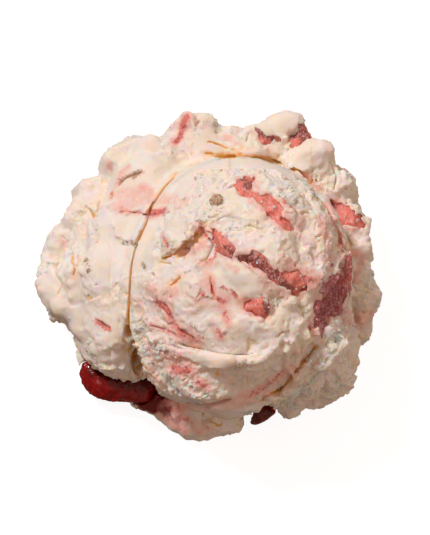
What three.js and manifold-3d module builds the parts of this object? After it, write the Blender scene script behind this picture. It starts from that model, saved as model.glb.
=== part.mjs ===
// A single scoop of strawberry cheesecake ice cream, standing on its own melted-flat underside.
// A dipper has rolled one big ball and a thick fold beside it, and dragged up a ragged collar
// of torn lumps round them. Chunks of strawberry sit in pockets of the ice cream, and crumbs of
// biscuit base are stuck in its surface.
// Millimetres, +Z up, origin on the resting face, under the middle of the scoop.
// Bearings are degrees in plan, from +X towards +Y, so 270 is the front; rises are degrees above
// the horizontal, so 90 is straight up.
import * as THREE from 'three';
import { ImprovedNoise } from 'three/addons/math/ImprovedNoise.js';
import { mergeVertices } from 'three/addons/utils/BufferGeometryUtils.js';
import Module from 'manifold-3d';

// Driving dimensions.
const DIPPER_RADIUS = 31; // inside radius of the bowl that rolled the ball
const BALL_WIDE = 0.86; // the ball's half sizes, as shares of the dipper's radius
const BALL_LONG = 1.0;
const BALL_TALL = 0.87;
const BALL_CENTRE = new THREE.Vector3(7.2, -8.6, 25);
const FACET = 3.0; // length of a facet's edge on the ice cream
const SKIRT_FACET = 5.0; // the same on the skirt, which hardly shows
const GASH_FACET = 2.4;
const GASH_SIDES = 6; // sides of a gash's cross-section
const BERRY_FACET = 2.0;
const CRUMB_FACET = 1.6;
const ICOSAHEDRON_EDGE = 1.05; // edge of an icosahedron with a radius of 1
const POCKET_GAP = 0.3; // clear space between a chunk of fruit and its pocket
const TORN_SIZE = 6; // width of the bumps that tearing leaves
const SMOOTHED_CRAG = 0.4; // height of the bumps where the dipper has smoothed the skin
const COLLAR_CRAG = 3;
const BERRY_CRAG = 0.9;
const CRUMB_CRAG = 0.8;
const TABLE_BLOCK = 200; // side of the block that cuts the underside flat

// Torn relief is folded noise: rounded bumps with sharp valleys, about 1 from valley to crest.
const RELIEF_SEED = new THREE.Vector3(7.3, 2.9, 5.1);
const RELIEF_OCTAVES = [{ finer: 1, share: 0.65 }, { finer: 2.1, share: 0.35 }];
const RELIEF_SWING = 2.2;
const RELIEF_MIDDLE = 0.5;

const BALL_RADII = new THREE.Vector3(BALL_WIDE, BALL_LONG, BALL_TALL).multiplyScalar(DIPPER_RADIUS);

// Where the ball's skin is torn rather than smoothed by the dipper; spread is in degrees.
const BALL_TORN = [
  { facing: [44, 74], spread: 36, crag: 2.0 }, // the plateau at the upper right
  { facing: [238, 20], spread: 42, crag: 3.0 }, // crumbly rim at the lower front
  { facing: [208, 46], spread: 18, crag: 1.6 }, // streaked patch on the left of the middle
  { facing: [285, 10], spread: 28, crag: 1.8 },
];

// Layers of ice cream that the dipper has rolled onto the ball. size is half the length, half the
// width and how far it stands proud; along is the bearing of its length.
const LAYERS = [
  { facing: [44, 74], along: 330, size: [17.5, 15, 2.0] }, // torn plateau
  { facing: [156, 60], along: 35, size: [6.5, 4, 2.2] }, // flake torn up beside the gash
  { facing: [285, 70], along: 302, size: [8.5, 3.6, 1.9] }, // smooth ridge in the middle
  { facing: [274, 49], along: 358, size: [13.5, 6, 2.2] }, // rounded lip at the front
  { facing: [215, 58], along: 20, size: [8, 5, 1.2] },
  { facing: [12, 26], along: 96, size: [15, 5, 1.4] }, // band along the right side
  { facing: [240, 6], along: 150, size: [15, 9, 2.0] }, // crumbly front rim
];
const LAYER_EDGE = [0.82, 1.06]; // where a layer's edge starts and ends to fall, as shares of its size
const LAYER_WOBBLE = 0.5; // how ragged that edge is, as a share of its size
const LAYER_REACH = 12; // how far below its middle a layer still follows the ball

// Creases between folds and gashes where the layers have opened: a path over the skin, half the
// width across it and half the depth.
const GASHES = [
  { // the crease between the ball and the fold
    path: [[-6.5, 17, 34], [-10.5, 13, 33.5], [-14.5, 8, 32.5], [-17.6, 1, 31], [-18.9, -5.5, 29.5],
      [-19.2, -12, 28], [-18.2, -18.5, 26], [-16, -23.5, 23]],
    wide: 0.9, deep: 3.2,
  },
  { path: [[-3, -31, 42], [8, -34.2, 43.2], [19, -31, 42.5]], wide: 0.9, deep: 1.8 }, // under the lip
  { path: [[-1, -7, 52], [8, -12.5, 52.5], [19, -17.5, 49.5]], wide: 1.6, deep: 2.2 }, // plateau's edge
  { path: [[-9.2, -9.8, 47.2], [-4.9, -6.9, 50.4], [0.4, -2.6, 52.2]], wide: 1.7, deep: 2.8 }, // by the flake
  { path: [[-10.4, -18.2, 44.8], [-8.8, -16.2, 46.9], [-6.3, -14.4, 48.5]], wide: 0.7, deep: 1.6 },
  { path: [[-22.8, 13.2, 31], [-20.4, 15.5, 33.2], [-15.6, 17, 34.5]], wide: 1.2, deep: 2.4 }, // on the fold
  { path: [[-21.3, 6.5, 34.6], [-17.7, 6.6, 33.6], [-14.2, 5.3, 34]], wide: 0.7, deep: 1.6 },
  { path: [[27, 15, 27], [30.6, 9, 31], [31.8, 1, 35], [31.8, -5, 36]], wide: 1.2, deep: 3 }, // right side
];

// The fold beside the ball, the lumps on its back and front ends, and the skirt under the collar.
const FOLDS = [
  { centre: [-22.3, 4, 17], size: [9.4, 15, 18], along: 332, tilt: 0, crag: 0.5 },
  { centre: [-24.4, -5.5, 16], size: [9, 15, 19], along: 350, tilt: 0, crag: 0.5 },
  { centre: [-24.3, -14, 14], size: [8.6, 16, 18], along: 8, tilt: 0, crag: 0.5 },
  { centre: [-15.5, 14.5, 25], size: [9.5, 9, 10], along: 25, tilt: 0, crag: 0.6 },
  {
    centre: [-24, -20.5, 11.5], size: [9, 10.5, 12], along: 20, tilt: 0, crag: 0.8,
    torn: [{ facing: [270, -20], spread: 60, crag: 3.0 }],
  },
  { centre: [1, 1.5, 9], size: [33.5, 30.5, 17], along: 0, tilt: 0, crag: 4.0, facet: SKIRT_FACET },
];

// The ragged collar, lump by lump round the scoop. reach is the distance from the middle, height
// the lump's centre above the table, and size its half sizes across, around and up.
const COLLAR = [
  { bearing: 187, reach: 34.2, height: 11, size: [7.2, 10.5, 8.5], crag: 3.0 },
  { bearing: 171, reach: 33.4, height: 13, size: [7.2, 6.5, 8], crag: 3.0 },
  { bearing: 150, reach: 32.0, height: 15, size: [6.5, 7, 8], crag: 2.8 },
  { bearing: 131, reach: 30.3, height: 20, size: [7.6, 8.5, 8], crag: 2.8 },
  { bearing: 113, reach: 27.7, height: 22, size: [6.8, 9, 8.5], crag: 2.4 },
  { bearing: 99, reach: 28.8, height: 23, size: [6.6, 7.6, 7.5], crag: 2.6 },
  { bearing: 77, reach: 27.0, height: 20, size: [6.4, 10.5, 8], crag: 2.2 },
  { bearing: 61, reach: 35.6, height: 20, size: [6.2, 6.4, 7.5], crag: 2.2 },
  { bearing: 45, reach: 34.6, height: 22, size: [5.6, 8.2, 7], crag: 1.8 },
  { bearing: 33, reach: 34.0, height: 18, size: [6.4, 7, 8], crag: 3.2 },
  { bearing: 17, reach: 33.4, height: 16, size: [5.6, 8, 7], crag: 3.0 },
  { bearing: 3, reach: 34.2, height: 14, size: [5, 6.5, 7], crag: 2.8 },
  { bearing: 349, reach: 37.0, height: 11, size: [5.2, 7, 7.5], crag: 3.0 },
  { bearing: 341, reach: 36.6, height: 8, size: [5.2, 5.2, 7], crag: 3.0 },
  { bearing: 315, reach: 33.2, height: 11, size: [10.6, 11, 10], crag: 3.2 },
  { bearing: 297, reach: 30.6, height: 6, size: [7.5, 7, 8], crag: 2.6 },
  { bearing: 268, reach: 27.6, height: 4, size: [12, 13.5, 8], crag: 1.6 },
  { bearing: 228, reach: 27, height: 4, size: [8, 9, 6.5], crag: 2.2 },
];

// The lower row of the collar, spread on the table from the right, round the back, to the left.
const LOWER_ROW = {
  from: 318, to: 552, step: 17, middle: [0.5, 3], reach: [33.2, 28.5], height: 5, size: 6.6,
};
const ROW_UNEVENNESS = 3.2;
const ROW_NOISE_STEP = 0.37;
const ROW_SEEDS = [2.3, 5.9, 8.1]; // one each for a lump's reach, width and height

// Crumbs of biscuit base stuck in the skin, the first ones in the ball's; size is half a width.
const BALL_CRUMBS = [
  { facing: [121.5, 67.3], size: 2.1 },
  { facing: [258, 38], size: 1.6 },
];
const FOLD_CRUMBS = [
  { centre: [-29.1, -6.9, 31.2], size: 1.9 },
  { centre: [-19.2, 0.2, 29.8], size: 1.8 },
];

// Chunks of strawberry in the ball's skin, placed like the layers. size is half the length, half
// the width and half the depth; proud is how far the top stands out of the skin.
const SET_IN_BERRIES = [
  {
    name: 'strawberry_upper_strip', facing: [58, 66], along: 322, size: [9.5, 3.4, 3.8], proud: 3.0,
    color: 0xe57162, roughness: 0.5,
  },
  {
    name: 'strawberry_middle_left', facing: [190, 83.5], along: 324, size: [4.9, 2.6, 3.2], proud: 2.9,
    color: 0xb5575a, roughness: 0.5,
  },
  {
    name: 'strawberry_middle_right', facing: [321, 69], along: 325, size: [7.2, 3.4, 3.6], proud: 2.2,
    color: 0x955a4d, roughness: 0.5,
  },
  {
    name: 'strawberry_right', facing: [344, 32], along: 62, size: [11.6, 6.4, 6], proud: 3.4,
    color: 0x855050, roughness: 0.6,
  },
  {
    name: 'strawberry_small', facing: [290, 62], along: 340, size: [3.4, 2.8, 3], proud: 2.6,
    color: 0x9a4a50, roughness: 0.5,
  },
];

// Chunks held in the collar or lying against the foot of the scoop.
const LOOSE_BERRIES = [
  {
    name: 'strawberry_front_left', centre: [-22.2, -26.4, 4.8], along: 348, size: [9.8, 6, 5],
    color: 0x551212, roughness: 0.15,
  },
  {
    name: 'strawberry_front_right', centre: [12.4, -32.8, 4.2], along: 60, size: [4.8, 4.4, 4.4],
    color: 0x46150d, roughness: 0.25,
  },
  {
    name: 'strawberry_right_collar', centre: [33.6, 12, 20], along: 318, size: [7, 3, 3.2],
    color: 0xde7b74, roughness: 0.5,
  },
  {
    name: 'strawberry_back_right', centre: [21.8, 32.2, 22], along: 300, size: [3.8, 3.2, 5],
    color: 0x8f3625, roughness: 0.4,
  },
  {
    name: 'strawberry_back', centre: [12.6, 30.6, 25], along: 330, size: [4, 2.4, 3],
    color: 0xbb6362, roughness: 0.4,
  },
];

const wasm = await Module();
wasm.setup();
const perlin = new ImprovedNoise();

function tornRelief(point, size) {
  let height = 0;
  for (const { finer, share } of RELIEF_OCTAVES) {
    const place = point.clone().multiplyScalar(finer / size).add(RELIEF_SEED);
    height += share * Math.abs(perlin.noise(place.x, place.y, place.z));
  }
  return RELIEF_SWING * height - RELIEF_MIDDLE;
}

function unit(facing) {
  const bearing = THREE.MathUtils.degToRad(facing[0]);
  const rise = THREE.MathUtils.degToRad(facing[1]);
  return new THREE.Vector3(
    Math.cos(bearing) * Math.cos(rise), Math.sin(bearing) * Math.cos(rise), Math.sin(rise));
}

// How torn a lump's skin is towards a direction: the strongest of its torn patches there.
function cragTowards(direction, torn, least) {
  let crag = least;
  for (const patch of torn) {
    const away = THREE.MathUtils.radToDeg(direction.angleTo(unit(patch.facing)));
    const share = 1 - THREE.MathUtils.smoothstep(away, 0.7 * patch.spread, patch.spread);
    crag = Math.max(crag, patch.crag * share);
  }
  return crag;
}

// A closed three.js mesh as a solid that can be joined and cut.
function solidOf(geometry) {
  geometry.deleteAttribute('normal');
  geometry.deleteAttribute('uv');
  const merged = mergeVertices(geometry, 1e-4);
  return new wasm.Manifold(new wasm.Mesh({
    numProp: 3,
    vertProperties: new Float32Array(merged.attributes.position.array),
    triVerts: new Uint32Array(merged.index.array),
  }));
}

// A ball of half sizes radii, turned and moved by frame, each place pushed outwards by
// rise(place, direction) mm.
function lump(radii, frame, facet, rise) {
  const meanRadius = Math.cbrt(radii.x * radii.y * radii.z);
  const detail = Math.max(1, Math.round(ICOSAHEDRON_EDGE * meanRadius / facet) - 1);
  const geometry = new THREE.IcosahedronGeometry(1, detail);
  const places = geometry.attributes.position;
  const centre = new THREE.Vector3().setFromMatrixPosition(frame);
  const direction = new THREE.Vector3();
  const place = new THREE.Vector3();
  for (let i = 0; i < places.count; i += 1) {
    direction.fromBufferAttribute(places, i);
    place.copy(direction).multiply(radii).applyMatrix4(frame);
    const outward = place.clone().sub(centre).normalize();
    place.addScaledVector(outward, rise(place, direction));
    places.setXYZ(i, place.x, place.y, place.z);
  }
  return solidOf(geometry);
}

// A frame that stands at a place, turned to a bearing and then tilted about its first axis.
function turned(centre, along, tilt = 0) {
  const euler = new THREE.Euler(
    THREE.MathUtils.degToRad(tilt), 0, THREE.MathUtils.degToRad(along), 'ZYX');
  return new THREE.Matrix4().makeRotationFromEuler(euler).setPosition(centre);
}

// A frame on the ball's skin: its third axis points straight out, and its first lies along.
function onBall(facing, along, out = 0) {
  const direction = unit(facing);
  const normal = direction.clone().divide(BALL_RADII).normalize();
  const place = direction.multiply(BALL_RADII).add(BALL_CENTRE).addScaledVector(normal, out);
  const first = unit([along, 0]);
  first.addScaledVector(normal, -first.dot(normal)).normalize();
  const second = new THREE.Vector3().crossVectors(normal, first);
  return new THREE.Matrix4().makeBasis(first, second, normal).setPosition(place);
}

// How far the rolled-on layers lift the ball's skin at a place.
function layerRise(place) {
  let rise = 0;
  for (const { facing, along, size } of LAYERS) {
    const [long, wide, proud] = size;
    const local = place.clone().applyMatrix4(onBall(facing, along).invert());
    if (local.z > -LAYER_REACH) {
      const wobble = LAYER_WOBBLE * tornRelief(place, TORN_SIZE);
      const away = Math.hypot(local.x / long, local.y / wide) + wobble;
      rise = Math.max(rise, proud * (1 - THREE.MathUtils.smoothstep(away, ...LAYER_EDGE)));
    }
  }
  return rise;
}

function ball() {
  return lump(BALL_RADII, new THREE.Matrix4().setPosition(BALL_CENTRE), FACET, (place, direction) => (
    layerRise(place) + cragTowards(direction, BALL_TORN, SMOOTHED_CRAG) * tornRelief(place, TORN_SIZE)));
}

// A spindle bent along a path, flat across the skin and deep towards the ball's middle.
function gash({ path, wide, deep }) {
  const curve = new THREE.CatmullRomCurve3(path.map((place) => new THREE.Vector3(...place)));
  const geometry = new THREE.SphereGeometry(1, GASH_SIDES, Math.round(curve.getLength() / GASH_FACET));
  const places = geometry.attributes.position;
  for (let i = 0; i < places.count; i += 1) {
    const share = Math.acos(THREE.MathUtils.clamp(places.getY(i), -1, 1)) / Math.PI;
    const along = curve.getTangentAt(share);
    const place = curve.getPointAt(share);
    const outward = place.clone().sub(BALL_CENTRE);
    outward.addScaledVector(along, -outward.dot(along)).normalize();
    const across = new THREE.Vector3().crossVectors(outward, along);
    place.addScaledVector(across, wide * places.getX(i)).addScaledVector(outward, deep * places.getZ(i));
    places.setXYZ(i, place.x, place.y, place.z);
  }
  return solidOf(geometry);
}

function fold({ centre, size, along, tilt, crag, torn = [], facet = FACET }) {
  const frame = turned(new THREE.Vector3(...centre), along, tilt);
  return lump(new THREE.Vector3(...size), frame, facet, (place, direction) => (
    cragTowards(direction, torn, crag) * tornRelief(place, TORN_SIZE)));
}

function collarLump({ bearing, reach, height, size, crag }) {
  const centre = unit([bearing, 0]).multiplyScalar(reach).setZ(height);
  return lump(new THREE.Vector3(...size), turned(centre, bearing), FACET, (place) => (
    crag * tornRelief(place, TORN_SIZE)));
}

// Lumps side by side on the table, no two of one size, height or reach.
function lowerRow({ from, to, step, middle, reach, height, size }) {
  let row = null;
  for (let bearing = from; bearing < to; bearing += step) {
    const out = unit([bearing, 0]);
    const [further, across, up] = ROW_SEEDS.map((seed) => (
      ROW_UNEVENNESS * perlin.noise(bearing * ROW_NOISE_STEP, seed, 0.5)));
    const centre = new THREE.Vector3(
      middle[0] + out.x * (reach[0] + further), middle[1] + out.y * (reach[1] + further), height + up);
    const radii = new THREE.Vector3(size + across, size - across / 2, size + up / 2);
    const next = lump(radii, turned(centre, bearing), FACET, (place) => (
      COLLAR_CRAG * tornRelief(place, TORN_SIZE)));
    row = row ? row.add(next) : next;
  }
  return row;
}

function crumb(frame, size) {
  return lump(new THREE.Vector3(size, size, size), frame, CRUMB_FACET, (place) => (
    CRUMB_CRAG * tornRelief(place, size)));
}

// A chunk of fruit; grown by the gap, the same chunk cuts its own pocket.
function berry(shape, grown) {
  const radii = new THREE.Vector3(...shape.size).addScalar(grown);
  const frame = shape.facing
    ? onBall(shape.facing, shape.along, shape.proud - shape.size[2])
    : turned(new THREE.Vector3(...shape.centre), shape.along);
  return lump(radii, frame, BERRY_FACET, (place) => BERRY_CRAG * tornRelief(place, TORN_SIZE));
}

function above(solid) {
  const block = new THREE.BoxGeometry(TABLE_BLOCK, TABLE_BLOCK, TABLE_BLOCK);
  block.translate(0, 0, TABLE_BLOCK / 2);
  return solid.intersect(solidOf(block));
}

// The largest body of a solid, with any space sealed inside it filled.
function oneBody(solid) {
  const bodies = solid.decompose().filter((body) => body.volume() > 0);
  return bodies.reduce((largest, body) => (body.volume() > largest.volume() ? body : largest));
}

function meshOf(name, solid, look) {
  const { numProp, vertProperties, triVerts } = solid.getMesh();
  const geometry = new THREE.BufferGeometry();
  const places = new THREE.InterleavedBuffer(vertProperties, numProp);
  geometry.setAttribute('position', new THREE.InterleavedBufferAttribute(places, 3, 0));
  geometry.setIndex(new THREE.BufferAttribute(triVerts, 1));
  const faceted = geometry.toNonIndexed();
  faceted.computeVertexNormals();
  const mesh = new THREE.Mesh(faceted, new THREE.MeshStandardMaterial({ ...look, metalness: 0 }));
  mesh.name = name;
  return mesh;
}

function iceCream(berries) {
  let body = ball();
  for (const shape of FOLDS) body = body.add(fold(shape));
  for (const shape of GASHES) body = body.subtract(gash(shape));
  for (const shape of COLLAR) body = body.add(collarLump(shape));
  body = body.add(lowerRow(LOWER_ROW));
  for (const shape of BALL_CRUMBS) body = body.add(crumb(onBall(shape.facing, 0), shape.size));
  for (const shape of FOLD_CRUMBS) {
    body = body.add(crumb(turned(new THREE.Vector3(...shape.centre), 0), shape.size));
  }
  for (const shape of berries) body = body.subtract(berry(shape, POCKET_GAP));
  return oneBody(above(body));
}

const berries = [...SET_IN_BERRIES, ...LOOSE_BERRIES];
const scoop = new THREE.Group();
scoop.add(meshOf('ice_cream', iceCream(berries), { color: 0xf0dcc6, roughness: 0.6 }));
for (const shape of berries) {
  const { name, color, roughness } = shape;
  scoop.add(meshOf(name, oneBody(above(berry(shape, 0))), { color, roughness }));
}

// The origin comes under the middle of the whole scoop.
const middle = new THREE.Box3().setFromObject(scoop).getCenter(new THREE.Vector3());
for (const mesh of scoop.children) mesh.position.set(-middle.x, -middle.y, 0);

export default scoop;
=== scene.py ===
import math
import bmesh
import bpy
import numpy as np
import openvdb
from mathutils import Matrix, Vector
from mathutils.noise import turbulence


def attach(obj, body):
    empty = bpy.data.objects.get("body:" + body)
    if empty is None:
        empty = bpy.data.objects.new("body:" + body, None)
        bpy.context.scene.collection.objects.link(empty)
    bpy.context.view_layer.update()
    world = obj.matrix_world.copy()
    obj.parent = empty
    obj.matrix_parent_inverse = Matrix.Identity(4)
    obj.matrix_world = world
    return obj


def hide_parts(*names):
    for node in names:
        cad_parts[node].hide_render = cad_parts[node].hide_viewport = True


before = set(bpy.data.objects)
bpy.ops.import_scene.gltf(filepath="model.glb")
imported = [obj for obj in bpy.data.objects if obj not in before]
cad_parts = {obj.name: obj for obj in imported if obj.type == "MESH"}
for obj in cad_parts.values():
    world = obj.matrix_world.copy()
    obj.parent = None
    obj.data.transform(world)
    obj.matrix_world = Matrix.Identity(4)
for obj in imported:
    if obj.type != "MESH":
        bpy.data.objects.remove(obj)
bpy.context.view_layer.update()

# Camera, 70 degrees above the front of the scoop and 0.52 m from it. One pixel of the
# 430 x 535 photograph covers 0.24 mm at AIM, and marks on the scoop are named by such pixels.
PHOTO_WIDE, PHOTO_HIGH = 430, 535
AIM = Vector((0.001157, -0.001173, 0.020))
RISE = math.radians(70)
AWAY = 0.520
PIXEL = 0.00024
SENSOR = 36.0

towards_camera = Vector((0, -math.cos(RISE), math.sin(RISE)))
camera = bpy.data.objects.new("camera", bpy.data.cameras.new("camera"))
bpy.context.scene.collection.objects.link(camera)
camera.data.sensor_width = SENSOR
camera.data.lens = SENSOR * AWAY / (PHOTO_HIGH * PIXEL)
camera.location = AIM + AWAY * towards_camera
camera.rotation_mode = "QUATERNION"
camera.rotation_quaternion = (-towards_camera).to_track_quat("-Z", "Y")
bpy.context.scene.camera = camera

# Studio: a pale floor that glows a little, so that only a faint shadow shows on it, one fairly
# hard light from the upper left, and an even warm fill from all round.
FLOOR_HALF = 1.5
FLOOR_COLOUR = (0.25, 0.25, 0.25)
FLOOR_GLOW = 0.90
PAPER_ROUGHNESS = 0.9
KEY_FROM = Vector((-0.44, 0.36, 0.82))
KEY_STRENGTH = 2.0
KEY_SPREAD = math.radians(8)
KEY_COLOUR = (0.97, 0.985, 1.0)
FILL_FROM = (0.50, 0.18, 0.85)
FILL_ABOVE = (0.54, 0.415, 0.335)
FILL_BELOW = (0.175, 0.104, 0.070)
FILL_DARKEST, FILL_BRIGHTEST = -0.5, 0.6  # how far along FILL_FROM the fill is at its ends

floor_mesh = bpy.data.meshes.new("floor")
floor_mesh.from_pydata(
    [(x * FLOOR_HALF, y * FLOOR_HALF, 0) for x, y in ((-1, -1), (1, -1), (1, 1),
      (-1, 1))], [], [(0, 1, 2, 3)])
floor = bpy.data.objects.new("floor", floor_mesh)
bpy.context.scene.collection.objects.link(floor)
paper = bpy.data.materials.new("paper_floor")
paper.use_nodes = True
paper_shader = paper.node_tree.nodes["Principled BSDF"]
paper_shader.inputs["Base Color"].default_value = (*FLOOR_COLOUR, 1)
paper_shader.inputs["Roughness"].default_value = PAPER_ROUGHNESS
paper_shader.inputs["Emission Color"].default_value = (1, 1, 1, 1)
paper_shader.inputs["Emission Strength"].default_value = FLOOR_GLOW
floor_mesh.materials.append(paper)
floor.visible_diffuse = False
floor.visible_glossy = False

key = bpy.data.objects.new("key_light", bpy.data.lights.new("key_light", "SUN"))
bpy.context.scene.collection.objects.link(key)
key.data.energy = KEY_STRENGTH
key.data.angle = KEY_SPREAD
key.data.color = KEY_COLOUR
key.rotation_mode = "QUATERNION"
key.rotation_quaternion = KEY_FROM.to_track_quat("Z", "Y")
surround = bpy.data.worlds.new("surround")
surround.use_nodes = True
sky = surround.node_tree.nodes.new("ShaderNodeTexCoord")
height = surround.node_tree.nodes.new("ShaderNodeVectorMath")
height.operation = "DOT_PRODUCT"
height.inputs[1].default_value = FILL_FROM
shade = surround.node_tree.nodes.new("ShaderNodeMapRange")
shade.inputs["From Min"].default_value = FILL_DARKEST
shade.inputs["From Max"].default_value = FILL_BRIGHTEST
tint = surround.node_tree.nodes.new("ShaderNodeMix")
tint.data_type = "RGBA"
tint.inputs[6].default_value = (*FILL_BELOW, 1)
tint.inputs[7].default_value = (*FILL_ABOVE, 1)
for start, end in (
        (sky.outputs["Generated"], height.inputs[0]), (height.outputs["Value"], shade.inputs["Value"]),
        (shade.outputs[0], tint.inputs[0]),
        (tint.outputs[2], surround.node_tree.nodes["Background"].inputs["Color"])):
    surround.node_tree.links.new(start, end)
bpy.context.scene.world = surround
bpy.context.scene.view_settings.view_transform = "Standard"


# The ice cream: one frozen body of cream, rolled into a ball by the dipper with a fold beside it
# and a torn collar round both. It is sculpted as a field of distances to its skin: the solid is
# softened, then creases are cut, lips and ridges are laid on, and torn places are roughened.
MM = 1000.0
CREAM_CUBE = 0.28  # side of one cube of the field, in mm
BAND = 3.0  # distances are kept this far from the skin, in mm
SPARE = 3.6  # room round a body in its grid, in mm
NEARBY = 60.0  # sight lines are followed from this far in front of AIM, in mm
MARCH = 70  # steps along each sight line
STRIDE = 0.8  # each step is this share of the distance left
SLOPE_STEP = 0.7  # the way out of the skin is measured over this far to each side, in mm
DOUBLE = 1e-6  # corners of a node nearer than this are one, in m
EASE = 0.8  # how far the facets of the solid are softened, in mm
MOST_TRIANGLES = 190000
SCRAP = 0.1  # a loose island with less than this share of the corners of the biggest one is dropped
CREASE_STEP = 0.25  # places along a crease, in mm apart
CREASE_EVENED = 9  # each place along a crease is averaged with its neighbours, this many in all
CREASE_END = 2.0  # a crease dies out over this far at its ends, in mm
CREASE_TAPER = 0.2  # how little of a crease is left at its ends
CREASE_FROM, CREASE_LEVEL = -0.6, 0.35  # a crease is cut in levels, the first above the skin, in mm
CREASE_THIN = 0.2  # half the width of the thinnest crease, in mm
DIP_ENDS = 0.18  # the share of a dip's length over which it fades in and out

right = camera.rotation_quaternion @ Vector((1, 0, 0))
up = camera.rotation_quaternion @ Vector((0, 1, 0))


def smooth_step(low, high, value):
    share = np.clip((value - low) / (high - low), 0, 1)
    return share * share * (3 - 2 * share)


class Clay:
    """A body as distances to its skin, in mm and negative inside, on a grid of small cubes."""

    def __init__(self, node, cube, spare=SPARE):
        shape = bmesh.new()
        shape.from_mesh(node.data)
        bmesh.ops.remove_doubles(shape, verts=shape.verts, dist=DOUBLE)
        corners = np.array([v.co for v in shape.verts], np.float32) * MM
        faces = np.array([[v.index for v in face.verts] for face in shape.faces], np.uint32)
        shape.free()
        self.cube = cube
        self.box = corners.min(0), corners.max(0)
        start = np.floor((corners.min(0) - spare) / cube).astype(int)
        count = np.ceil((corners.max(0) + spare) / cube).astype(int) - start
        self.low = start * cube
        field = openvdb.FloatGrid.createLevelSetFromPolygons(
            corners, triangles=faces, transform=openvdb.createLinearTransform(voxelSize=cube),
            halfWidth=BAND / cube)
        self.skin = np.empty(tuple(count), np.float32)
        field.copyToArray(self.skin, ijk=tuple(int(i) for i in start))

    def softened(self, values, width):
        """values blurred over about width mm, as two box blurs along each axis."""
        reach = max(1, round(width / self.cube))
        for axis in (0, 0, 1, 1, 2, 2):
            ends = [(0, 0)] * 3
            ends[axis] = (reach + 1, reach)
            total = np.cumsum(np.pad(values, ends, mode="edge"), axis=axis, dtype=np.float64)
            total = np.moveaxis(total, axis, 0)
            values = np.moveaxis(total[2 * reach + 1:] - total[:-2 * reach - 1], 0, axis) / (2 * reach + 1)
        return values.astype(np.float32)

    def grain(self, size, seed):
        """Even noise over the whole grid with bumps about size mm wide, spread about 0 by 1."""
        rng = np.random.default_rng(seed)
        step = size / self.cube
        values = rng.standard_normal([int(n / step) + 5 for n in self.skin.shape]).astype(np.float32)
        for axis, n in enumerate(self.skin.shape):
            along = np.arange(n) / step
            cell = along.astype(int)
            part = (along - cell).reshape([-1 if a == axis else 1 for a in range(3)]).astype(np.float32)
            weights = ((1 - part) ** 3 / 6, (3 * part ** 3 - 6 * part ** 2 + 4) / 6,
                       (-3 * part ** 3 + 3 * part ** 2 + 3 * part + 1) / 6, part ** 3 / 6)
            values = sum(w * np.take(values, cell + i, axis=axis) for i, w in enumerate(weights))
        return values / values.std()

    def sample(self, values, places):
        """values of the grid at places in mm, in between its own points."""
        at = np.clip((places - self.low) / self.cube, 0, np.array(values.shape) - 1.001)
        cell = at.astype(int)
        part = at - cell
        total = 0
        for corner in np.ndindex(2, 2, 2):
            share = np.prod(np.where(corner, part, 1 - part), axis=1)
            total = total + share * values[tuple((cell + corner).T)]
        return total

    def out(self, places):
        """The way out of the skin near each place."""
        steps = np.eye(3) * SLOPE_STEP
        slope = np.stack(
            [self.sample(self.skin, places + s) - self.sample(self.skin, places - s) for s in steps], 1)
        return slope / np.maximum(np.linalg.norm(slope, axis=1, keepdims=True), 1e-6)

    def trail(self, pixels, step=0.35):
        """Places in mm on the skin under a line of the photograph's pixels, and the way out there."""
        marks = np.array(pixels, float)
        counts = [max(1, int(np.hypot(*run) * PIXEL * MM / step)) for run in np.diff(marks, axis=0)]
        line = [a + (b - a) * i / n for a, b, n in zip(marks, marks[1:], counts) for i in range(n)]
        column, row = np.array(line + [marks[-1]]).T
        across, along = (column - PHOTO_WIDE / 2) * PIXEL, (PHOTO_HIGH / 2 - row) * PIXEL
        sight = np.outer(across, right) + np.outer(along, up) - AWAY * np.array(towards_camera)
        sight /= np.linalg.norm(sight, axis=1, keepdims=True)
        places = np.array(camera.location) * MM + (AWAY * MM - NEARBY) * sight
        for _ in range(MARCH):
            gap = self.sample(self.skin, places)
            places = places + sight * STRIDE * np.clip(gap, -1, None)[:, None]
        places = places[gap < self.cube]
        return places, self.out(places)

    def window(self, low, high):
        """The part of the grid between two corners in mm, and the places of its points."""
        first = np.clip(np.floor((low - self.low) / self.cube).astype(int), 0, None)
        last = np.clip(np.ceil((high - self.low) / self.cube).astype(int) + 1, None, self.skin.shape)
        part = tuple(slice(a, b) for a, b in zip(first, last))
        axes = [self.low[i] + self.cube * np.arange(first[i], last[i]) for i in range(3)]
        return part, np.meshgrid(*axes, indexing="ij", sparse=True)

    def away(self, centres, radii, reach):
        """A part of the grid and the distance in it to the nearest of some balls, followed for reach mm."""
        radii = np.broadcast_to(radii, len(centres))
        far = radii.max() + reach
        part, _ = self.window(centres.min(0) - far, centres.max(0) + far)
        distance = np.full([s.stop - s.start for s in part], BAND, np.float32)
        for centre, radius in zip(centres, radii):
            near, (x, y, z) = self.window(centre - radius - reach, centre + radius + reach)
            inner = tuple(slice(n.start - p.start, n.stop - p.start) for n, p in zip(near, part))
            found = np.sqrt((x - centre[0]) ** 2 + (y - centre[1]) ** 2 + (z - centre[2]) ** 2) - radius
            np.minimum(distance[inner], found, out=distance[inner])
        return part, distance

    def add(self, centres, radii, blend):
        """Lays balls on the skin, joined to it by a hollow about blend mm wide."""
        part, distance = self.away(centres, radii, blend + 0.5)
        skin = self.skin[part]
        share = np.clip(0.5 + 0.5 * (skin - distance) / blend, 0, 1)
        self.skin[part] = skin * (1 - share) + distance * share - blend * share * (1 - share)

    def cut(self, centres, radii, blend):
        """Cuts balls out of the skin, with edges rounded over about blend mm."""
        part, distance = self.away(centres, radii, blend + 0.5)
        skin = self.skin[part]
        share = np.clip(0.5 - 0.5 * (skin + distance) / blend, 0, 1)
        self.skin[part] = skin * (1 - share) - distance * share + blend * share * (1 - share)

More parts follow.
